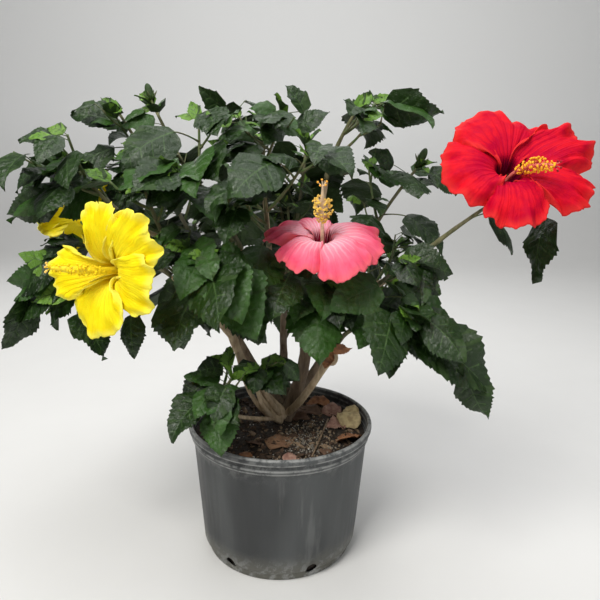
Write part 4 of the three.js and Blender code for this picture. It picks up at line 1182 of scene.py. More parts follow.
    @staticmethod
    def in_opening(leaf: Leaf) -> bool:
        """Whether the middle of a leaf shows in one of the crown's openings, as seen from the camera."""
        middle = leaf.marks()[[1, 4]] - EYE
        for point, radius in OPENINGS:
            line = unit(np.array(point, dtype=float) - EYE)
            off = np.linalg.norm(middle - (middle @ line)[:, None] * line, axis=-1)
            if (off < radius).all():
                return True
        return False

    @staticmethod
    def shown_leaf(shown: ShownLeaf, shoots: list[Shoot]) -> Leaf:
        """A shown leaf, on a petiole from the nearest point of its mass's shoots."""
        base, tip = np.array(shown.base, dtype=float), np.array(shown.tip, dtype=float)
        run = unit(tip - base)
        spots = np.concatenate([shoot.arc.at(np.linspace(0.2, 1, 15)) for shoot in shoots])
        root = spots[np.argmin(np.linalg.norm(spots - base, axis=-1))]
        aside = unit(np.cross(run, EYE - base))
        facing = unit(unit(EYE - base) + aside * shown.turn)
        bow = facing * 0.3
        length = float(np.linalg.norm(tip - base)) * 1.03
        leaf = Leaf(root, base, unit(run + bow), unit(run - bow), unit(np.cross(run, facing)), length, shown.tone)
        leaf.square_up()
        return leaf

    def spray_tone(self, mass: Mass, dice: Dice) -> Tone:
        """A spray's colour, dealt out at random with painted light: sprays high up lean to the brighter tones, and
        those at the back to the darker ones as painted shade.
        """
        high = ease(np.array(mass.tip[2]), 330, 600)
        # Painted light: height adds to the roll and the back takes from it, so high sprays come out brighter and back
        # sprays darker.
        luck_and_painted_light = dice.roll() + 0.22 * float(high) - (0.25 if mass.back else 0.0)
        return Tone.DARK if luck_and_painted_light < 0.42 else Tone.MIDDLE if luck_and_painted_light < 0.86 else Tone.BRIGHT

    def grow(self) -> None:
        """Grows every mass by the source's rule, then every mass's finer twigs."""
        tint = {mass.name: Dice(mass.seed + 500) for mass in MASSES}
        for mass in MASSES:
            dice = Dice(mass.seed)
            shoots = self.side_shoots(mass, dice)
            for shoot in shoots:
                shoot.tone = self.spray_tone(mass, tint[mass.name])
                fresh = self.young_leaves(shoot, mass, dice, 2 if shoot.leader else 1)
                spacing = BACK_SPACING if mass.back else LEAF_SPACING
                self.grow_leaves(shoot, mass, dice, spacing, LEAF_CLEARANCE)
                shoot.leaves += fresh
            self.shoots[mass.name] = shoots
        for mass in MASSES:
            dice = Dice(mass.seed + 900)
            shoots = self.shoots[mass.name]
            for shoot in shoots:
                shoot.leaves += self.rosette(shoot, mass, dice)
            shoots += self.finer_twigs(mass, dice, list(shoots))
            for shoot in shoots:
                shoot.leaves = [leaf for leaf in shoot.leaves if not (self.shades_bloom(leaf) or self.in_opening(leaf))]
            single = [shown for shown in SHOWN_LEAVES if shown.mass == mass.name]
            shoots[0].leaves += [self.shown_leaf(shown, shoots) for shown in single]


# Foliage


def gather(leaves: list[Leaf], *keys: str) -> Array:
    """The named values of many leaves, one array of them for each name."""
    return np.array([[getattr(leaf, key) for leaf in leaves] for key in keys])


@dataclass(frozen=True)
class LeafForm:
    """The blade's pattern: rows that run out from the midrib along the side veins, and columns from edge to edge.

    The pairs are the least and the most of what differs from leaf to leaf.
    """

    veins: int = 5
    fractions: tuple[float, ...] = (0.0, 0.06, 0.5, 0.58)
    columns: tuple[float, ...] = (-1.0, -0.6, -0.035, 0.035, 0.6, 1.0)
    skew: float = 0.3
    tooth: float = 0.16
    relief: float = 0.024
    thickness: float = 0.012
    fold: Pair = (-0.4, 0.35)
    young_fold: float = 0.55
    young_width: float = 0.72
    ripple: Pair = (0.015, 0.05)
    curl: Pair = (-0.09, 0.07)
    hook: Pair = (-0.16, 0.03)
    swerve: Pair = (-0.1, 0.1)

    SPINE = 48

    def rows(self) -> Array:
        """Where each row leaves the midrib, from 0 at the blade's base to 1 at its tip."""
        start = np.arange(self.veins)[:, None] / self.veins
        return np.append((start + np.array(self.fractions) / self.veins).ravel(), 1.0)

    def half_width(self, u: Array) -> Array:
        """The outline without teeth: u^0.42 (1-u), at most 1, with a blunt start and a fine point."""
        full = np.clip(u, 0, 1) ** 0.42 * np.clip(1 - u, 0, 1)
        return np.maximum(full / 0.4223, 0.012)

    def toothed(self, edge: Array, phase: Array, own: Array) -> Array:
        """The half width where a row ends, with its teeth, each as strong as its own share."""
        saw = np.interp(phase, [0, 0.079, 0.08, 0.5, 0.579, 0.58, 1], [1, 0.02, 0, 1, 0.02, 0, 1])
        strength = ease(edge, 0.3, 0.5) * self.tooth
        return self.half_width(edge) * (1 + (strength * (saw - 0.35))[None] * own)

    def relief_at(self, s: Array, v: Array, phase: Array, own: Array) -> Array:
        """The bulges between the side veins, each as strong as its own share, and the groove along the midrib."""
        side_room = np.sin(np.pi * np.clip(np.abs(v), 0, 1)) ** 0.6
        bulge = self.relief * np.sin(np.pi * phase) ** 0.7 * side_room * ease(s, 0.0, 0.1) * (1 - s**4)
        return bulge * own - 0.35 * self.relief * (np.abs(v) < 0.05)

    def midrib(self, leaves: list[Leaf], u: Array) -> tuple[Array, Array]:
        """The point of each leaf's bent midrib at u, and the blade's normal there."""
        heading, ending, side, base = gather(leaves, "heading", "ending", "side", "base")[:, :, None]
        length = gather(leaves, "length")[0][:, None, None]
        table = np.linspace(0, 1, self.SPINE + 1)
        middle = ((table[1:] + table[:-1]) / 2)[None, :, None]
        steps = unit(mix(heading, ending, middle)) / self.SPINE * length
        line = np.concatenate([base, base + np.cumsum(steps, axis=1)], axis=1)
        at = np.clip(u * self.SPINE, 0, self.SPINE - 0.001)
        low = at.astype(int)
        spine = mix(line[:, low], line[:, low + 1], (at - low)[None, ..., None])
        along = unit(mix(heading[:, None], ending[:, None], u[None, ..., None]))
        return spine, unit(np.cross(np.broadcast_to(side[:, None], along.shape), along))

    def surface(self, leaves: list[Leaf], seed: int) -> tuple[Array, Array]:
        """The tops of many blades at once.

        A row leaves the midrib at s and reaches the edge further on, at u = s + skew |v|^1.3. A point lies along the
        bent midrib at u, out to its side by v times the half width, and above it by the fold, the bulge between two
        veins and the edge's wave.

        Args:
            leaves: The leaves.
            seed: For their small differences.

        Returns:
            The points (n, rows, columns, 3) and the normals that the thickness is taken along.
        """
        source, each = np.random.default_rng(seed), (len(leaves), 1, 1)
        s, v = self.rows()[:, None], np.array(self.columns)[None]
        lead = self.skew * ease(s, -0.02, 0.15) * (1 - s) ** 0.8
        u, phase = np.clip(s + lead * np.abs(v) ** 1.3, 0, 1), (s * self.veins) % 1.0
        half = self.toothed(np.clip(s + lead, 0, 1), phase, source.uniform(0.35, 1.55, (len(leaves), len(s), 1)))
        relief = self.relief_at(s, v, phase, source.uniform(0.2, 1.5, (len(leaves), len(s), len(self.columns))))
        length, young = gather(leaves, "length", "young")[:, :, None, None]
        side = gather(leaves, "side")[0][:, None, None]
        wide = LEAF_WIDTH * 0.5 * source.uniform(0.9, 1.08, each) * np.where(young, self.young_width, 1.0)
        out = v[None] * half * wide * length
        fold = np.where(young, self.young_fold, source.uniform(*self.fold, each))
        ripple = source.uniform(*self.ripple, each)
        shift = source.uniform(0, 1, each) + source.uniform(0, 0.5, each) * np.sign(v)
        wave = ripple * np.sin(2 * np.pi * (u[None] * source.uniform(1.4, 3.2, each) + shift))
        curl = source.uniform(*self.curl, each) * u[None] ** 2 * v[None] * np.abs(v[None])
        above = fold * np.abs(out) + relief * length + (wave * v[None] ** 2 + curl) * length
        hook = source.uniform(*self.hook, each) * u[None] ** 4 * length
        swerve = source.uniform(*self.swerve, each) * u[None] ** 3 * length
        spine, normal = self.midrib(leaves, u)
        return spine + side * (out + swerve)[..., None] + normal * (above + hook)[..., None], normal

    def top_slots(self, leaves: list[Leaf], rows: int, cols: int) -> Array:
        """The finish of every face of the blades' tops: the leaf's own colour, or the veins' along them."""
        i, j = np.divmod(np.arange((rows - 1) * (cols - 1)), cols - 1)
        middle = (np.array(self.columns)[1:] + np.array(self.columns)[:-1])[j] / 2
        vein = (np.abs(middle) < 0.02) | ((i % len(self.fractions) == 0) & (i > 0) & (np.abs(middle) < 0.8))
        tone = np.array([leaf.tone.value for leaf in leaves])
        return np.where(vein[None], Tone.VEIN.value, tone[:, None]).ravel()

    @staticmethod
    def under_faces(rows: int, cols: int) -> tuple[Array, Array]:
        """Faces of an underside that shares its top's edge: two strips to the keel, and fans at base and tip."""
        k, c, low, last = np.arange(rows - 1), np.arange(cols - 1), rows * cols, (rows - 1) * cols
        left, right, mid = k * cols, k * cols + cols - 1, low + k
        left_strip = np.stack([mid, left, left + cols, mid + 1], axis=-1)
        right_strip = np.stack([right, mid, mid + 1, right + cols], axis=-1)
        foot = np.stack([c + 1, c, np.full_like(c, low)], axis=-1)
        tip = np.stack([last + c, last + c + 1, np.full_like(c, low + rows - 1)], axis=-1)
        return np.concatenate([left_strip, right_strip]), np.concatenate([foot, tip])

    def add(self, piece: Piece, leaves: list[Leaf], seed: int) -> None:
        """Adds closed blades to a piece: a toothed top with its veins, and an underside that meets in a keel.

        Args:
            piece: The piece that they join.
            leaves: The leaves.
            seed: For their small differences.
        """
        top, normal = self.surface(leaves, seed)
        n, rows, cols = top.shape[:3]
        rib, length = cols // 2 - 1, gather(leaves, "length")[0][:, None, None]
        keel = top[:, :, rib] - normal[:, :, rib] * self.thickness * length
        points = np.concatenate([top.reshape(n, -1, 3), keel], axis=1)
        stride = points.shape[1]
        edge = np.zeros(stride, dtype=bool)
        edge[: rows * cols].reshape(rows, cols)[:, [0, -1]] = True
        edge[: rows * cols].reshape(rows, cols)[[0, -1]] = True
        faces = [(repeated(grid_faces(rows, cols), n, stride), self.top_slots(leaves, rows, cols))]
        for some in self.under_faces(rows, cols):
            faces.append((repeated(some, n, stride), Tone.UNDER.value))
        piece.add(points, faces, rim=edge[None])


DRY_FORM = LeafForm(relief=0.05)
DRY_THICKNESS = 0.4


class Foliage:
    """Leaves and twigs of every mass."""

    GROWN = LeafForm()
    SMALL = LeafForm(veins=4, fractions=(0.0, 0.1, 0.6), tooth=0.14)
    SMALL_LENGTH = 44.0
    TWIG_STEPS = 13

    def __init__(self, growth: Growth) -> None:
        """Makes the finishes that all masses share."""
        self.growth = growth
        self.tones = [LEAF_FINISHES[tone].material() for tone in Tone]
        self.wood = [GREEN_WOOD.material(), YOUNG_BARK.material(), LEAF_FINISHES[Tone.UNDER].material()]

    def build(self) -> int:
        """Builds every mass.

        Returns:
            How many leaves there are.
        """
        total = 0
        for mass in MASSES:
            shoots = self.growth.shoots[mass.name]
            leaves = [leaf for shoot in shoots for leaf in shoot.leaves]
            total += len(leaves)
            self.build_leaves(mass, leaves)
            self.build_wood(mass, shoots)
        return total

    def build_leaves(self, mass: Mass, leaves: list[Leaf]) -> None:
        """Joins a mass's leaves into one piece."""
        for leaf in leaves:
            if leaf.young:
                leaf.tone = Tone.YOUNG
        piece = Piece(mass.name.replace("foliage", "leaves"))
        grown = [leaf for leaf in leaves if leaf.length > self.SMALL_LENGTH and not leaf.young]
        small = [leaf for leaf in leaves if leaf.length <= self.SMALL_LENGTH or leaf.young]
        for form, some, seed in ((self.GROWN, grown, mass.seed + 40), (self.SMALL, small, mass.seed + 80)):
            if some:
                form.add(piece, some, seed)
        dress(piece.make(self.tones), mass.name)

    def build_wood(self, mass: Mass, shoots: list[Shoot]) -> None:
        """Joins a mass's leader, shoots, twigs, petioles and buds into one piece."""
        piece = Piece(mass.name.replace("foliage", "twigs"))
        share = np.linspace(0, 1, self.TWIG_STEPS)
        paths = np.array([shoot.arc.at(share) for shoot in shoots])
        thick = np.array([mix(shoot.radii[0], shoot.radii[1], share) for shoot in shoots])
        knuckle = 1 + 0.14 * np.maximum(0, np.sin(np.arange(self.TWIG_STEPS) * 2.1)) ** 3
        across = np.array([shoot.arc.across() for shoot in shoots])
        woody = np.array([int(shoot.leader) for shoot in shoots])
        piece.add_tubes(paths, thick * knuckle, across, 7, woody, 0)
        leaves = [leaf for shoot in shoots for leaf in shoot.leaves if not leaf.young]
        if leaves:
            self.add_petioles(piece, leaves)
        self.add_buds(piece, shoots[: mass.buds])
        dress(piece.make(self.wood), mass.name)

    @staticmethod
    def add_petioles(piece: Piece, leaves: list[Leaf]) -> None:
        """Adds a bowed petiole to each leaf: from the shoot out, then down into the blade's own heading."""
        root, base, heading = gather(leaves, "root", "base", "heading")[:, :, None]
        across, length = gather(leaves, "side")[0], gather(leaves, "length")[0]
        share, size = np.linspace(0, 1, 6), length[:, None, None]
        bend = mix(root, base, 0.62) + UP * size * 0.035
        paths = Arc(root, bend, base + heading * size * 0.03).at(share)
        radii = mix(0.013, 0.009, share)[None] * length[:, None] * np.array([1.5, 1, 1, 1, 1.1, 0.7])
        piece.add_tubes(paths, np.maximum(radii, 0.5), across, 6)

    @staticmethod
    def add_buds(piece: Piece, shoots: list[Shoot]) -> None:
        """Adds a closed green flower bud on a short stalk, in a ring of bracts, at the tip of each shoot."""
        for number, shoot in enumerate(shoots):
            heading = unit(shoot.arc.heading(1) + UP * 0.6)
            foot = shoot.arc.tip
            neck = foot + heading * 9
            length = 11.0 - 2.5 * number
            side = unit(np.cross(heading, [0.2, 1, 0.1]))
            stalk = foot + (neck - foot) * np.linspace(0, 1, 5)[None, :, None]
            piece.add_tubes(stalk, np.full((1, 5), 1.3), side[None], 7)
            frame = np.array([[side * 5.2, np.cross(heading, side) * 5.2, heading * length]])
            piece.add_beads((neck + heading * length * 0.8)[None], frame, 9, 12, 2)
            spoke = spokes(heading, side, around(7)[:, None])
            rise = np.linspace(0, 1, 6)[None, :, None]
            bract = neck + spoke[:, None] * (2 + 8 * rise) + heading * (9 * rise - 1)
            radii = np.tile([0.8, 1.1, 1.2, 1.0, 0.7, 0.2], (7, 1))
            piece.add_tubes(bract, radii, np.cross(heading, spoke), 4)


# Limbs


@dataclass(frozen=True)
class Knob:
    """The pruned knob on the right bough: its place, length, radius, swelling and the stub of the cut limb."""

    limb: str = "bough_right"
    at: float = 0.9
    length: float = 30.0
    radius: float = 11.0
    swell: float = 3.8
    stub: float = 7.5
    stub_length: float = 24.0


class Woodwork:
    """Trunk and boughs with the relief of their bark."""

    KNOB = Knob()
    SIDES = 28
    SLIM_TRUNK = 0.7
    SLIM_KNOBBED = 0.68
    SLIM = 0.86
    SCAR_SPACING = 31
    # The trunk and the boughs at the back take the darker bark as painted shade.
    SHADED_LIMBS = ("trunk", "bough_back", "bough_back_left", "bough_back_right")
    CUT_SLOT = 2
    DRY_SLOT = 3

    def __init__(self) -> None:
        """Makes the bark finishes."""
        self.finishes = [TAN_BARK.material(), SHADED_BARK.material(), CUT_WOOD.material(), DRY_RUST.material()]

    def build(self) -> None:
        """Builds every limb, then the thin stems."""
        for number, limb in enumerate(LIMBS):
            self.build_limb(limb, number, limb.name.replace("bough", "branch").replace("trunk", "trunk_bark"))
        for number, (title, limb) in enumerate(THIN_STEMS.items(), 40):
            self.build_limb(limb, number, title)

    def radius_along(self, limb: Limb, number: int, t: Array, length: float) -> Array:
        """A limb's radius: tapered, flared at its foot, swollen at leaf scars and the knob, rounded at its end."""
        radius = mix(limb.radii[0], limb.radii[1], t)
        if limb.name == "trunk":
            radius = radius * self.SLIM_TRUNK * (1 + 0.4 * np.clip(1 - t / 0.22, 0, 1) ** 2)
        else:
            slim = self.SLIM_KNOBBED if limb.name == self.KNOB.limb else self.SLIM
            radius = radius * slim * (1 + 0.28 * np.exp(-t * length / 14))
        radius = radius * (1 + 0.035 * waves(number, 4, t * length, pitch=0.1))
        scars = np.exp(-((((t * length) % self.SCAR_SPACING) - self.SCAR_SPACING // 2) ** 2) / 6)
        radius = radius * (1 + 0.055 * scars)
        if limb.name == self.KNOB.limb:
            radius = radius + self.KNOB.swell * np.exp(-(((t - self.KNOB.at) * length) ** 2) / 130)
        end = np.sqrt(np.clip((1 - t) * length / (limb.radii[1] * 0.8), 0, 1))
        return radius * (0.35 + 0.65 * end)

    def build_limb(self, limb: Limb, number: int, title: str) -> None:
        """Builds a limb: a tube that carries long ridges, fine roughness and, on the trunk, root flares.

        Args:
            limb: The limb.
            number: The seed of its relief.
            title: The piece's name.
        """
        arc = limb.arc()
        trunk = limb.name == "trunk"
        length = float(np.linalg.norm(arc.tip - arc.foot))
        t = np.linspace(0, 1, int(length / 2.6) + 12)
        angle = around(self.SIDES)
        x, y, run = np.cos(angle)[None], np.sin(angle)[None], t[:, None] * length
        ridge = waves(number + 20, 7, x * 3.2, y * 3.2, run * 0.02)
        rough = waves(number + 60, 9, x * 9, y * 9, run * 0.25)
        flare = 0.16 * np.clip(1 - t / 0.25, 0, 1)[:, None] * np.sin(angle * 4 + 0.6)[None] if trunk else 0.0
        full = self.radius_along(limb, number, t, length)[:, None] * (1 + 0.045 * ridge + 0.022 * rough + flare)
        path = arc.at(t)[None]
        if trunk:
            path[0, :, 2] = np.maximum(path[0, :, 2], CROWN[2] - 2)
        piece = Piece(title)
        piece.add_tubes(path, full[None], arc.across()[None], self.SIDES, int(limb.name in self.SHADED_LIMBS))
        if limb.name == self.KNOB.limb:
            self.add_knob(piece, arc)
        dress(piece.make(self.finishes), limb.name)

    def add_knob(self, piece: Piece, arc: Arc) -> None:
        """Adds the pruned knob: a lumpy swelling, a stub that ends in a flat cut, and two dry leaves on it."""
        knob = self.KNOB
        centre = arc.at(knob.at)
        tilt = np.linspace(0, math.pi, 26)[:, None]
        turn = around(36)[None]
        ball = round_points(np.sin(tilt), turn, np.cos(tilt))
        ball[..., 1] = 0.9 * np.sin(tilt) * np.sin(turn)
        lumps = 1 + 0.09 * waves(5, 8, ball[..., 0] * 3, ball[..., 1] * 3, ball[..., 2] * 3)
        shape = ball * np.array([knob.radius, knob.radius, knob.length / 2]) * lumps[..., None] * 0.94
        piece.add(centre + shape[1:-1], [(grid_faces(24, 36, joined=True)[:, ::-1], 0)])
        axis, side = unit(np.array([-0.48, 0.0, 0.88])), np.array([0.0, 1.0, 0.0])
        start = centre + np.array([-1.0, -2.0, 2.0])
        t = np.linspace(0, 1, 16)
        path = (start + axis * (t * knob.stub_length)[:, None])[None]
        relief = waves(9, 6, np.cos(around(self.SIDES))[None] * 4, t[:, None] * 6)
        bark = knob.stub * (1 - 0.14 * t)[:, None] * (1 + 0.04 * relief)
        piece.add_tubes(path, bark[None], side[None], self.SIDES, 0, self.CUT_SLOT)
        base = start + axis * 10 + np.array([4.0, -knob.radius * 0.8, 0.0])
        for number, (x, z) in enumerate([(0.75, 0.45), (-0.3, -0.9)]):
            heading = unit(np.array([x, -0.3, z]))
            side = square_to(unit(np.array([-z, -0.35, x])), heading)
            leaf = Leaf(base, base, heading, unit(heading - UP * 0.5), side, 30.0 - 6 * number)
            top, normal = (part[0] for part in DRY_FORM.surface([leaf], 260 + number))
            top = top + normal * (1.4 * np.sin((top - base) @ side * 0.5))[..., None]
            piece.add_sheet(top, top - normal * DRY_THICKNESS, self.DRY_SLOT)


# Blooms


class Flower:
    """One bloom: five petals, the column with its anthers and stigmas, the calyx and the stalk."""

    PETALS = 5
    GRID = (40, 61)
    COARSE_GRID = (26, 33)
    ANTHERS = 110
    SKIN = 0.35
    CUP = 0.07
    RUFFLE = 0.05
    SIDE_RUFFLE = 0.03
    SWAY = 0.03
    RIB = 0.45
    FILAMENT_RADIUS = 0.28
    ANTHER_AXES = (1.75, 1.25, 1.05)

    def __init__(self, bloom: Bloom, growth: Growth, green: Material, coarse: bool = False) -> None:
        """Sets up the bloom's own frame, with its axis along the way it faces."""
        self.bloom = bloom
        self.growth = growth
        self.green = green
        self.grid = self.COARSE_GRID if coarse else self.GRID
        self.axis = unit(np.array(bloom.faces, dtype=float))
        self.frame = self.turn_up_to(self.axis)
        self.throat = np.array(bloom.throat, dtype=float)

    @staticmethod
    def turn_up_to(axis: Array) -> Array:
        """The shortest turn that brings +Z to the axis, as a matrix: 1 + K + K^2 / (1 + c) of their cross product."""
        cross = np.cross(UP, axis)
        k = np.array([[0, -cross[2], cross[1]], [cross[2], 0, -cross[0]], [-cross[1], cross[0], 0]])
        return np.eye(3) + k + k @ k / (1 + axis[2])

    def to_world(self, local: Array) -> Array:
        """Points of the bloom's own frame brought to the plant."""
        return local @ self.frame.T + self.throat

    def petal(self, spin: float, share: float, spread: float, seed: int) -> tuple[Array, Array, Array]:
        """One petal's top in the bloom's frame.

        At a share u of its length and v of its half width, a point stands at radius R u^1.08 from the axis, turned
        by v times the half width over the radius, and at the height of the throat's tube, the lift, the belly, the
        cup and the edge's ruffle.

        Args:
            spin: The petal's angle about the axis.
            share: Its length's share of the bloom's reach.
            spread: Its width's share of the usual one.
            seed: For its ruffles.

        Returns:
            The points (rows, cols, 3), u and v.
        """
        bloom, source = self.bloom, np.random.default_rng(seed)
        reach = bloom.reach * share
        u = np.linspace(0, 1, self.grid[0])[:, None] ** 0.9
        v = np.linspace(-1, 1, self.grid[1])[None]
        phase, pitch = source.uniform(0, 2 * math.pi, 6), source.uniform(0.85, 1.2, 2)
        crimp = 0.02 * np.sin(v * 8 * pitch[0] + phase[0]) + 0.016 * np.sin(v * 21 * pitch[1] + phase[1])
        crimp = crimp + 0.009 * np.sin(v * 47 + phase[2])
        outer = 0.53 + 0.47 * (1 - np.minimum(np.abs(v), 1) ** 3.2) ** 0.65
        outer = reach * source.uniform(0.94, 1.03) * outer * (1 + crimp)
        radius = THROAT_RADIUS + (outer - THROAT_RADIUS) * u**1.08
        span = mix(0.92, 0.78 * spread, ease(u, 0.14, 0.72)) * source.uniform(0.97, 1.08)
        half = span * (THROAT_RADIUS + (reach - THROAT_RADIUS) * u)
        height = -TUBE_DEPTH * (1 - ease(u, 0, 0.22)) + bloom.lift * u + bloom.belly * 4 * u * (1 - u)
        height = height + self.CUP * v * half - self.CUP * half * v**2
        rim = np.maximum(np.abs(v) ** 3 * ease(u, 0.45, 0.8), ease(u, 0.66, 1.0))
        ruffle = np.sin(v * 9.5 * pitch[0] + u * 3 + phase[2]) + 0.55 * np.sin(v * 19 * pitch[1] - u * 6 + phase[3])
        side_ruffle = np.sin(u * 19 + phase[4] + np.sign(v)) * np.abs(v) ** 2
        height = height + reach * (self.RUFFLE * rim * ruffle + self.SIDE_RUFFLE * ease(u, 0.4, 0.9) * side_ruffle)
        height = height + self.SWAY * reach * np.sin(v * 4.1 + phase[5]) * u * (1 - 0.4 * u)
        height = height + self.RIB * np.sin(v * 31 + phase[0]) * ease(u, 0.06, 0.3) * (1 - 0.6 * u)
        height = height - reach * (0.05 + 0.06 * source.uniform()) * u**3
        points = round_points(radius, v * span + spin, height)
        return points, np.broadcast_to(u, points.shape[:2]), np.broadcast_to(v, points.shape[:2])

    def build_petals(self) -> None:
        """Joins the petals, each a thin closed sheet, into the piece that stands for the bloom."""
        bloom, piece = self.bloom, Piece(self.bloom.name.replace("bloom", "petals"))
        even = [(bloom.turn + k * 2 * math.pi / self.PETALS, 1.0, 0.95) for k in range(self.PETALS)]
        for k, (spin, share, spread) in enumerate(bloom.petals or even):
            top, u, v = self.petal(spin, share, spread, int(abs(bloom.throat[0])) * 10 + k)
            skin = unit(np.cross(np.gradient(top, axis=0), np.gradient(top, axis=1))) * self.SKIN
            marks = {"along": np.stack([u, u]), "across": np.stack([v, v])}
            piece.add_sheet(self.to_world(top + skin), self.to_world(top - skin), **marks)
        dress(piece.make([bloom.finish.material()]), bloom.name)

    def column_path(self, t: Array) -> Array:
        """The column in the bloom's frame: out of the tube along the axis, leaning more the further it goes."""
        lean = np.array(self.bloom.lean, dtype=float) @ self.frame
        straight = UP * (-TUBE_DEPTH + (self.bloom.column + TUBE_DEPTH) * t)[:, None]
        return straight + lean * (self.bloom.column * 0.5 * t**2)[:, None]

    def build_column(self) -> None:
        """Builds the column, its anthers on short filaments, and five round stigmas at its tip."""
        bloom, source, count = self.bloom, np.random.default_rng(17), self.ANTHERS
        piece = Piece(bloom.name.replace("bloom", "column"))
        t = np.linspace(0, 0.94, 40)
        radii = np.interp(t, [0, 0.15, 0.8, 0.94], [3.4, 2.3, 1.9, 0.9]) * bloom.thick
        piece.add_tubes(self.to_world(self.column_path(t))[None], radii[None], np.array([[0.9, 0.3, 0.2]]), 14)
        low, high = bloom.anthers
        place = source.uniform(low, high, count)
        at = self.column_path(place)
        ahead = unit(self.column_path(place + 0.02) - at)
        side = unit(np.cross(ahead, [0.13, 0.2, 0.97]) + 1e-6)
        turn = (np.arange(count) * GOLDEN_ANGLE)[:, None]
        spoke = unit(spokes(ahead, side, turn) + ahead * 0.35)
        fuller = 0.45 + 0.55 * np.sin(math.pi * (place - low) / (high - low))
        length = (bloom.thread * fuller * source.uniform(0.7, 1.1, count))[:, None, None]
        threads = at[:, None] + spoke[:, None] * np.linspace(0, 1, 4)[None, :, None] * length
        across = spoke[:, [1, 2, 0]] @ self.frame.T
        piece.add_tubes(self.to_world(threads), np.full((count, 4), self.FILAMENT_RADIUS), across, 4)
        cross = unit(np.cross(spoke, ahead)) @ self.frame.T
        outward = spoke @ self.frame.T
        frames = np.stack([cross, np.cross(outward, cross), outward], axis=1) * np.array(self.ANTHER_AXES)[:, None]
        piece.add_beads(self.to_world(threads[:, -1]), frames, 4, 7, 1)
        self.add_stigmas(piece)
        pollen_light = tuple(min(1, 1.25 * c) for c in bloom.pollen)
        finishes = [
            PlainFinish(bloom.name + "_filament", bloom.filament, shade(bloom.filament, 0.8), 0.5, 300).material(),
            PlainFinish(bloom.name + "_pollen", bloom.pollen, pollen_light, 0.85, 900).material(),
            PlainFinish(bloom.name + "_stigma", bloom.stigma, shade(bloom.stigma, 1.2), 0.6, 400).material(),
        ]
        dress(piece.make(finishes), bloom.name)

    def add_stigmas(self, piece: Piece) -> None:
        """Adds the five branches at the column's tip, each with a round head."""
        tip, beyond = self.column_path(np.array([0.93, 0.95]))
        ahead = unit(beyond - tip)
        side = unit(np.cross(ahead, [0.1, 0.2, 0.97]))
        spoke = spokes(ahead, side, around(5)[:, None])
        rise = np.linspace(0, 1, 6)[None, :, None]
        branch = self.to_world(tip + ahead * rise * 5.5 + spoke[:, None] * rise**1.4 * 5.0)
        piece.add_tubes(branch, np.full((5, 6), 0.45), spoke[:, [1, 2, 0]] @ self.frame.T, 6)
        piece.add_beads(branch[:, -1], np.broadcast_to(np.eye(3) * 1.3, (5, 3, 3)), 5, 8, 2)

    def build_calyx(self) -> None:
        """Builds the lobed cup, the ring of bracts under it and the stalk down to the leader."""
        piece = Piece(self.bloom.name.replace("bloom", "calyx"))
        low = -TUBE_DEPTH - CALYX_LENGTH
        t = np.linspace(0, 1, 16)[:, None]
        turn = around(40)[None]
        lobe = 0.5 + 0.5 * np.cos(turn * 5)
        height = low + t * (CALYX_LENGTH + 3 + 6.5 * lobe * t**2)
        radius = np.interp(t, [0, 0.12, 0.5, 1], [2.6, 5.6, 8.6, 9.6]) * (1 - 0.06 * np.sin(turn * 10))
        radius = radius + 1.2 * t**4 * lobe
        shell = np.concatenate([round_points(radius, turn, height), round_points(radius - 0.9, turn, height)[::-1]])
        piece.add(self.to_world(shell), [(grid_faces(32, 40, joined=True), 0)])
        spoke = round_points(1.0, around(7), 0.0)
        rise = np.linspace(0, 1, 7)[None, :, None]
        bract = spoke[:, None] * (2.5 + 10.5 * rise**0.8) + UP * (low + 1 + 12 * rise**1.2)
        radii = np.tile([1.0, 1.3, 1.4, 1.3, 1.0, 0.7, 0.2], (7, 1))
        piece.add_tubes(self.to_world(bract), radii, np.cross(UP, spoke) @ self.frame.T, 5)
        self.add_stalk(piece)
        dress(piece.make([self.green]), self.bloom.name)

    def add_stalk(self, piece: Piece) -> None:
        """Adds the stalk along the source's curve, with the swollen joint near the calyx."""
        arc, root = self.growth.leaders[self.bloom.mass], self.bloom.root
        at, heading = arc.at(root), arc.heading(root)
        end = self.throat - self.axis * (TUBE_DEPTH + CALYX_LENGTH - 1)
        start = at if root < 1 else at + heading * (GAP + 0.1)
        reach = float(np.linalg.norm(end - start))
        bend = mix(start, end - self.axis * 0.4 * reach, 0.6) if root < 1 else start + heading * 0.5 * reach
        t = np.linspace(0, 1, 22)
        stalk = Arc(start, bend, end)
        radii = 2.0 + 0.5 * np.exp(-(((t - 0.72) / 0.04) ** 2)) + 0.3 * t**6
        piece.add_tubes(stalk.at(t)[None], radii[None], stalk.across()[None], 12)

    def build(self) -> None:
        """Builds the whole bloom."""
        self.build_petals()
        self.build_column()
        self.build_calyx()


# Pot and potting mix


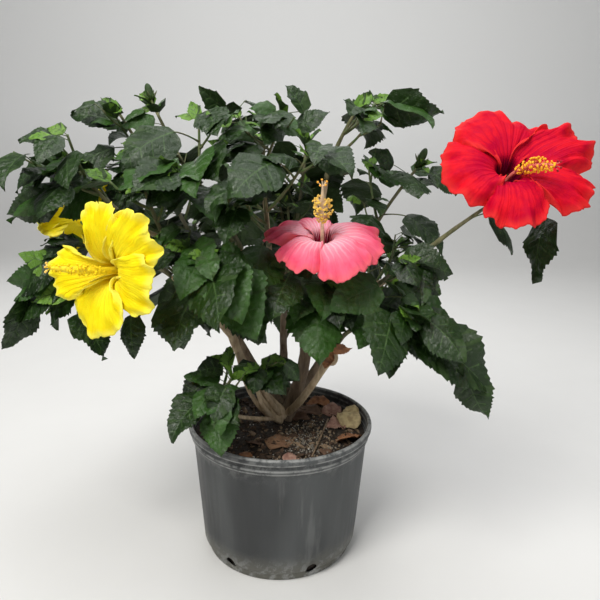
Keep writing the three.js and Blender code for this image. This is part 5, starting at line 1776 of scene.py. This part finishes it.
@dataclass
class NurseryPot:
    """The squat moulded pot: a wall with faint broad ribs, a stacking step, a rolled lip and six drain holes."""

    height: float = POT_HEIGHT
    rim: float = RIM_RADIUS
    foot: float = 108.5
    wall: float = 2.4
    lip_drop: float = 9.0
    lip_overhang: float = 3.2
    band_drop: float = 24.0
    band_step: float = 1.8
    foot_height: float = 15.0
    foot_inset: float = 6.0
    underside: float = 1.2
    segments: int = 288
    ribs: int = 36
    rib_depth: float = 0.2
    dent: float = 0.35
    drains: int = 6
    drain_radius: float = 8.0
    first_drain: float = -65.0
    finish: PotFinish = PotFinish()

    OUTSIDE = slice(7, 34)

    def wall_radius(self, z: Array) -> Array:
        """The wall's outside radius at a height: a straight taper from the foot to under the lip."""
        share = np.clip((z - self.foot_height) / (self.height - self.foot_height), 0, 1)
        return self.foot + (self.rim - self.lip_overhang - self.band_step - self.foot) * share

    def profile(self) -> Array:
        """Radius and height round the whole section, from the middle of the underside out, up, in and down."""
        h, band, lip = self.height, self.height - self.band_drop, self.height - self.lip_drop
        inset, ridge, foot = self.foot - self.foot_inset, (band + lip) / 2 - 1, self.foot_height
        r, rim, step, wall, low = self.wall_radius, self.rim, self.band_step, self.wall, self.underside
        outline = [(0.02, low), (inset - 14, low), (inset - 12, 0.0), (inset - 1.2, 0.0), (inset, low)]
        outline += [(inset, foot - 6.5), (inset + 1.0, foot - 5), (r(foot) - 1.2, foot - 1)]
        outline += [(r(z), z) for z in np.linspace(foot + 0.6, band - 0.6, 24)]
        outline += [(r(band) + 0.5, band + 0.2), (r(band) + step, band + 1.6)]
        outline += [(r(z) + step, z) for z in (band + 2.6, ridge - 2.2)]
        outline += [(r(ridge) + step + 1.3, ridge), (r(ridge) + step, ridge + 2.0)]
        outline += [(r(lip) + step - 1.0, lip - 4.4), (r(lip) + step - 1.0, lip - 2.4), (r(lip) + step, lip - 1.2)]
        outline += [(rim - 1.4, lip - 0.4), (rim - 0.3, lip + 0.8), (rim, lip + 2.6), (rim - 0.1, h - 3.4)]
        outline += [(rim - 0.8, h - 1.4), (rim - 2.2, h - 0.25), (rim - 3.6, h), (rim - 4.9, h - 0.8)]
        outline += [(rim - 5.6, h - 2.4)]
        outline += [(r(z) + step - wall, z) for z in np.linspace(lip, band + 3, 3)]
        outline += [(r(z) - wall, z) for z in np.linspace(band - 1, foot + 1, 8)]
        outline += [(inset - wall, wall + 1.2), (inset - wall - 2, wall), (0.02, wall)]
        return np.array(outline)

    def build(self) -> None:
        """Turns the profile, presses in the ribs and the slight dents of use, and cuts the drain holes."""
        profile = self.profile()
        turn = around(self.segments)[None]
        radius, z = profile[:, :1], profile[:, 1:]
        outer = np.zeros((len(profile), 1))
        outer[self.OUTSIDE] = 1
        ribs = np.maximum(0, np.cos(turn * self.ribs)) ** 2 * self.rib_depth - self.rib_depth / 2
        band = ease(z, 22, 34) * ease(z, 156, 146)
        dent = self.dent * waves(3, 6, np.cos(turn) * 2, np.sin(turn) * 2, z / 60)
        shaped = radius + (ribs * band) * outer + dent * ease(radius, 60, 100) * ease(z, 10, 40) * ease(z, 186, 170)
        middle = np.array([[0, 0, self.underside], [0, 0, self.wall]])
        piece = Piece("nursery_pot")
        faces = [(some, 0) for some in closed_rings(len(profile), self.segments)]
        piece.add(np.concatenate([round_points(shaped, turn, z).reshape(-1, 3), middle]), faces)
        thing = piece.make([self.finish.material()])
        self.cut_drains(thing)
        dress(thing, "pot")

    def cut_drains(self, thing: Thing) -> None:
        """Cuts the round drain holes through the corner of wall and foot."""
        out = round_points(1.0, np.radians(self.first_drain) + around(self.drains), 0.0)
        start, end = out * (self.foot - 12), out * (self.foot + 10)
        paths = np.stack([start, end], axis=1) + UP * (self.foot_height - 0.5)
        cutter = Piece("drain_cutter")
        cutter.add_tubes(paths, np.full((self.drains, 2), self.drain_radius), np.tile(UP, (self.drains, 1)), 24)
        tool = cutter.make([])
        cut = thing.modifiers.new("drains", "BOOLEAN")
        cut.operation = "DIFFERENCE"
        cut.solver = "FAST"
        cut.object = tool
        graph = bpy.context.evaluated_depsgraph_get()
        made = bpy.data.meshes.new_from_object(thing.evaluated_get(graph), depsgraph=graph)
        thing.modifiers.clear()
        thing.data = made
        bpy.data.objects.remove(tool)


@dataclass
class PottingMix:
    """The mix in the pot, its crumbs, bark chips and white grains, and the dry leaves fallen on it."""

    level: float = SOIL_LEVEL
    radius: float = 118.5
    floor: float = 6.0
    chips: int = 900
    grains: int = 150
    grit: int = 520
    pot: NurseryPot = field(default_factory=NurseryPot)

    RINGS = 90
    AROUND = 220
    GRIT_PATCH = ((40, 22), (-42, 26))
    # Each leaf's x, y, length, turn, kind and rise
    DRY_LEAVES = (
        (-4, -56, 46, 0.4, 0, 0.22), (99, 8, 54, 1.3, 3, 0.95), (90, -40, 50, 0.3, 1, 0.3),
        (-80, -50, 46, 1.3, 1, 0.45), (46, 44, 44, 2.8, 2, 0.4), (72, 46, 40, 0.7, 4, 0.35),
        (-76, 26, 44, 2.0, 0, 0.5), (84, 6, 36, 3.6, 4, 0.3), (14, -92, 28, 0.1, 4, 0.15),
        (-40, -84, 26, 4.4, 1, 0.2), (60, 76, 40, 2.9, 1, 0.3), (-20, 92, 38, 3.9, 0, 0.3),
        (60, -70, 24, 5.2, 2, 0.2), (24, 20, 30, 5.7, 2, 0.4), (-30, -60, 22, 2.4, 2, 0.1),
    )

    def height_at(self, x: Array, y: Array) -> Array:
        """The surface: level, a little higher round the root crown, with crumbs of several sizes."""
        mound = MOUND * ease(np.hypot(x, y), self.radius, MOUND_RADIUS * 0.8)
        rough = 1.3 * waves(31, 12, x, y, pitch=0.09) + 0.7 * waves(32, 14, x, y, pitch=0.3)
        return self.level + mound - 1.6 + rough * 0.75

    def resting(self, x: Array, y: Array, lift: float) -> Array:
        """Points a little above the surface."""
        return np.stack([x, y, self.height_at(x, y) + lift], -1)

    def build(self) -> None:
        """Builds the mix, then what lies on it."""
        self.build_bed()
        self.build_chips()
        self.build_grit()
        self.build_grains()
        self.build_dry_leaves()

    @staticmethod
    def lay(piece: Piece, finishes: list[PlainFinish], smooth: bool = True) -> None:
        """Makes a piece of the mix in its finishes."""
        dress(piece.make([finish.material() for finish in finishes], smooth), "soil")

    def build_bed(self) -> None:
        """Builds the mix as a closed body: a fine round surface on top of the solid that fills the pot."""
        turn = around(self.AROUND)[None]
        radius = self.radius * (np.linspace(0.004, 1, self.RINGS) ** 0.8)[:, None]
        z = self.height_at(radius * np.cos(turn), radius * np.sin(turn))
        z[-1] -= 2.0
        foot = self.pot.foot - self.pot.foot_inset - self.pot.wall - 1
        lower = [(self.pot.wall_radius(h) - self.pot.wall - 1.2, h) for h in (150.0, 110.0, 70.0, 30.0)]
        lower += [(foot, self.floor), (0.5, self.floor)]
        rings = [round_points(r, turn, h) for r, h in lower]
        points = np.concatenate([round_points(radius, turn, z), *rings])
        middle = np.array([[0, 0, z[0].mean()], [0, 0, self.floor]])
        piece = Piece("potting_mix")
        faces = [(some, 0) for some in closed_rings(len(points), self.AROUND, flip=True)]
        piece.add(np.concatenate([points.reshape(-1, 3), middle]), faces)
        self.lay(piece, [PlainFinish("dark_mix", (0.016, 0.0115, 0.0085), (0.055, 0.042, 0.032), 0.95, 330)])

    def scatter(self, count: int, seed: int, inner: float = 8.0) -> tuple[Array, Array, np.random.Generator]:
        """Even random places on the mix, clear of the stems."""
        source = np.random.default_rng(seed)
        r = np.sqrt(source.uniform((inner / self.radius) ** 2, 0.95, count)) * (self.radius - 4)
        a = source.uniform(0, 2 * math.pi, count)
        return r * np.cos(a), r * np.sin(a), source

    @staticmethod
    def add_lumps(
        piece: Piece, centres: Array, frames: Array, size: Array, jitter: float, kinds: int, source: np.random.Generator
    ) -> None:
        """Adds beads with jittered points to a piece, dealt out over its finishes.

        Args:
            piece: The piece.
            centres: Their middles.
            frames: Their half axes.
            size: Their sizes.
            jitter: The spread of their points, of the size.
            kinds: How many finishes there are.
            source: The source of numbers.
        """
        points, quads, ends = beads(centres, frames, 3, 6)
        points = points + source.normal(0, jitter, points.shape) * size[:, None, None]
        kind = source.integers(0, kinds, len(size))
        piece.add(points, [(quads, dealt(kind, quads)), (ends, dealt(kind, ends))])

    def build_chips(self) -> None:
        """Builds bark chips as bent flakes, and a fallen twig among them."""
        x, y, source = self.scatter(self.chips, 41)
        size = source.lognormal(1.05, 0.5, self.chips).clip(1.2, 9)
        turn = source.uniform(0, 2 * math.pi, self.chips)
        tilt = source.normal(0, 0.35, (2, self.chips))
        long = np.stack([np.cos(turn), np.sin(turn), tilt[0]], -1)
        wide = np.stack([-np.sin(turn), np.cos(turn), tilt[1]], -1)
        thick = unit(np.cross(long, wide)) * (0.25 * size + 0.3)[:, None]
        frames = np.stack([unit(long) * size[:, None], unit(wide) * size[:, None] * 0.5, thick], axis=1)
        piece = Piece("bark_chips")
        self.add_lumps(piece, self.resting(x, y, 0.4), frames, size, 0.14, 3, source)
        ground = self.level + 3.0
        twig = Arc(*np.array([[68.0, 23.0, ground], [60.0, -30.0, ground + 9], [43.0, -86.0, ground - 1]]))
        piece.add_tubes(twig.at(np.linspace(0, 1, 20))[None], np.full((1, 20), 1.1), twig.across()[None], 7, 2)
        finishes = [
            PlainFinish("chip_dark", (0.03, 0.019, 0.012), (0.07, 0.045, 0.03), 0.9, 260),
            PlainFinish("chip_brown", (0.10, 0.06, 0.036), (0.05, 0.03, 0.02), 0.9, 240),
            PlainFinish("chip_tan", (0.27, 0.19, 0.12), (0.15, 0.1, 0.06), 0.85, 240),
        ]
        self.lay(piece, finishes, smooth=False)

    def build_grit(self) -> None:
        """Builds the patch of pale grit at the front right."""
        source = np.random.default_rng(43)
        x, y = (source.normal(middle, spread, self.grit) for middle, spread in self.GRIT_PATCH)
        inside = np.hypot(x, y) < self.radius - 6
        x, y = x[inside], y[inside]
        size = source.uniform(0.6, 1.7, len(x))
        frames = np.eye(3)[None] * size[:, None, None] * source.uniform(0.6, 1.5, (len(x), 3, 1))
        piece = Piece("pale_grit")
        self.add_lumps(piece, self.resting(x, y, 0.4), frames, size, 0.2, 3, source)
        tones = {"grit_grey": (0.26, 0.23, 0.19), "grit_tan": (0.34, 0.26, 0.17), "grit_dark": (0.1, 0.08, 0.06)}
        self.lay(piece, [PlainFinish(name, tone, shade(tone, 0.6), 0.9, 400) for name, tone in tones.items()], False)

    def build_grains(self) -> None:
        """Builds the white grains."""
        x, y, source = self.scatter(self.grains, 42)
        size = source.uniform(0.5, 1.4, self.grains)
        frames = np.eye(3)[None] * size[:, None, None] * source.uniform(0.75, 1.2, (self.grains, 3, 1))
        piece = Piece("white_grains")
        self.add_lumps(piece, self.resting(x, y, 0.3), frames, size, 0.15, 1, source)
        self.lay(piece, [PlainFinish("white_grain", (0.62, 0.6, 0.55), (0.45, 0.42, 0.37), 0.9, 500)])

    def build_dry_leaves(self) -> None:
        """Builds the curled dry leaves where they lie. The fourth kind is crumpled more than the others."""
        piece, source = Piece("dry_leaves"), np.random.default_rng(6)
        for number, (x, y, length, turn, kind, rise) in enumerate(self.DRY_LEAVES):
            heading = unit(np.array([math.cos(turn), math.sin(turn), rise]))
            side = square_to(unit(np.cross(heading, UP) + UP * source.uniform(-0.4, 0.4)), heading)
            base = self.resting(np.array(x), np.array(y), 2.5) - heading * length * 0.3
            base[2] = max(base[2], self.level + 2.0)
            leaf = Leaf(base, base, heading, unit(heading + UP * source.uniform(-1.1, -0.2)), side, length)
            top, normal = (part[0] for part in DRY_FORM.surface([leaf], 200 + number))
            across, along = (top - base) @ side, (top - base) @ heading
            crumple = 0.6 * np.sin(across * 0.5 + number) + 0.8 * np.sin(along * 0.35 + number)
            curl = 0.012 * across**2 + (3.4 if kind == 3 else 1.0) * crumple
            top = top + normal * curl[..., None]
            out = np.hypot(top[..., 0], top[..., 1])
            top[..., :2] *= np.minimum(1, (self.radius - 4) / out)[..., None]
            top[..., 2] = np.maximum(top[..., 2], self.height_at(top[..., 0], top[..., 1]) + 1.0)
            piece.add_sheet(top, top - normal * DRY_THICKNESS, kind)
        finishes = [
            PlainFinish("dry_tan", (0.30, 0.17, 0.095), (0.19, 0.1, 0.055), 0.8, 120),
            DRY_RUST,
            PlainFinish("dry_brown", (0.15, 0.085, 0.052), (0.09, 0.05, 0.032), 0.85, 120),
            PlainFinish("dry_pale", (0.62, 0.5, 0.27), (0.4, 0.3, 0.16), 0.8, 120),
            PlainFinish("dry_pink", (0.4, 0.24, 0.18), (0.24, 0.12, 0.09), 0.8, 120),
        ]
        self.lay(piece, finishes)


# Studio


@dataclass
class Studio:
    """The camera at the photograph's angle, the pale floor with its curved backdrop, and the soft lights."""

    eye: Point = EYE
    pitch: float = 13.885
    roll: float = 0.972
    lens: float = 36.0
    floor_front: float = -5000.0
    floor_back: float = 2200.0
    bend: float = 1300.0
    wall: float = 2600.0
    half_width: float = 4500.0
    sky: float = 0.16

    GRID = (60, 24)
    FLAT = 0.6
    CURVED = 0.25
    PLANT = (0.0, 0.0, 0.33)
    BACKDROP = (0.0, 3.4, 1.3)
    # Name, place, aim, size, power and colour
    LAMPS = (
        ("key", (-0.8, -1.3, 2.1), PLANT, 1.1, 51.0, (1.0, 0.985, 0.95)),
        ("wash", (0.0, 1.0, 2.6), BACKDROP, 1.2, 16.0, (1.0, 1.0, 1.0)),
        ("top", (0.3, 0.1, 2.4), PLANT, 1.6, 23.0, (0.98, 0.99, 1.0)),
        ("fill", (1.6, -1.3, 1.1), PLANT, 1.4, 8.0, (0.98, 0.99, 1.0)),
        ("back", (-0.4, 1.7, 1.5), PLANT, 1.2, 8.0, (1.0, 1.0, 1.0)),
    )

    def build(self) -> None:
        """Sets up the studio, with colours shown as they are."""
        bpy.context.scene.view_settings.view_transform = "Standard"
        self.place_camera()
        self.lay_floor()
        self.hang_lights()

    def place_camera(self) -> None:
        """Looks along +Y and down by the pitch, with the photograph's slight roll."""
        data = bpy.data.cameras.new("camera")
        data.sensor_width = 36.0
        data.lens = self.lens
        data.clip_end = 50
        camera = bpy.data.objects.new("camera", data)
        turn = Matrix.Rotation(math.radians(90 - self.pitch), 4, "X") @ Matrix.Rotation(math.radians(self.roll), 4, "Z")
        camera.location = [MM * c for c in self.eye]
        camera.rotation_euler = turn.to_euler()
        bpy.context.scene.collection.objects.link(camera)
        bpy.context.scene.camera = camera

    def lay_floor(self) -> None:
        """Lays a floor that curves up into a backdrop, far behind the plant."""
        rows, cols = self.GRID
        run = np.linspace(0, 1, rows)
        flat, turn = run < self.FLAT, np.clip((run - self.FLAT) / self.CURVED, 0, 1) * math.pi / 2
        ahead = mix(self.floor_front, self.floor_back, run / self.FLAT)
        y = np.where(flat, ahead, self.floor_back + self.bend * np.sin(turn))
        z = np.where(flat, 0.0, self.bend * (1 - np.cos(turn))) + np.clip((run - 0.85) / 0.15, 0, 1) * self.wall
        x = np.linspace(-self.half_width, self.half_width, cols)
        piece = Piece("studio_floor")
        sheet = np.stack(np.broadcast_arrays(x, y[:, None], z[:, None] - GAP), axis=-1)
        piece.add(sheet, [(grid_faces(rows, cols), 0)])
        n = Nodes("pale_floor")
        height = n.node("ShaderNodeSeparateXYZ", Vector=n.place()).outputs[2]
        ground = n.blend(n.noise(9, 4), (0.74, 0.735, 0.72), (0.77, 0.765, 0.75))
        colour = n.blend(n.step(height, 0.0, 0.9), ground, (0.98, 0.98, 0.97))
        floor = piece.make([n.finish(Base_Color=colour, Roughness=0.8, Specular_IOR_Level=0.2)])

    def hang_lights(self) -> None:
        """Hangs a large soft light over the front, weaker ones at both sides and behind, and a grey sky."""
        for name, place, aim, size, power, colour in self.LAMPS:
            data = bpy.data.lights.new(name, "AREA")
            data.shape = "SQUARE"
            data.size = size
            data.energy = power
            data.color = colour
            lamp = bpy.data.objects.new(name, data)
            back = unit(np.array(place) - np.array(aim))
            side = unit(np.cross(UP, back))
            turn = Matrix(np.stack([side, np.cross(back, side), back], axis=1).tolist())
            lamp.rotation_euler = turn.to_euler()
            lamp.location = place
            bpy.context.scene.collection.objects.link(lamp)
        world = bpy.data.worlds.new("grey_sky")
        world.use_nodes = True
        background = world.node_tree.nodes["Background"]
        background.inputs["Color"].default_value = (0.95, 0.97, 1.0, 1)
        background.inputs["Strength"].default_value = self.sky
        bpy.context.scene.world = world


def main() -> None:
    """Builds the plant over its frame and reports each piece."""
    logging.basicConfig(level=logging.INFO, format="%(message)s")
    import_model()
    Studio().build()
    growth = Growth()
    growth.grow()
    NurseryPot().build()
    PottingMix().build()
    Woodwork().build()
    foliage = Foliage(growth)
    LOG.info("leaves in all: %d", foliage.build())
    green = LeafFinish("calyx_green", (0.07, 0.15, 0.035), (0.1, 0.18, 0.05), 0.5).material()
    for bloom in BLOOMS:
        Flower(bloom, growth, green, coarse=bloom.name == "bloom_yellow_back").build()
    bpy.context.view_layer.update()


if __name__ == "__main__":
    main()
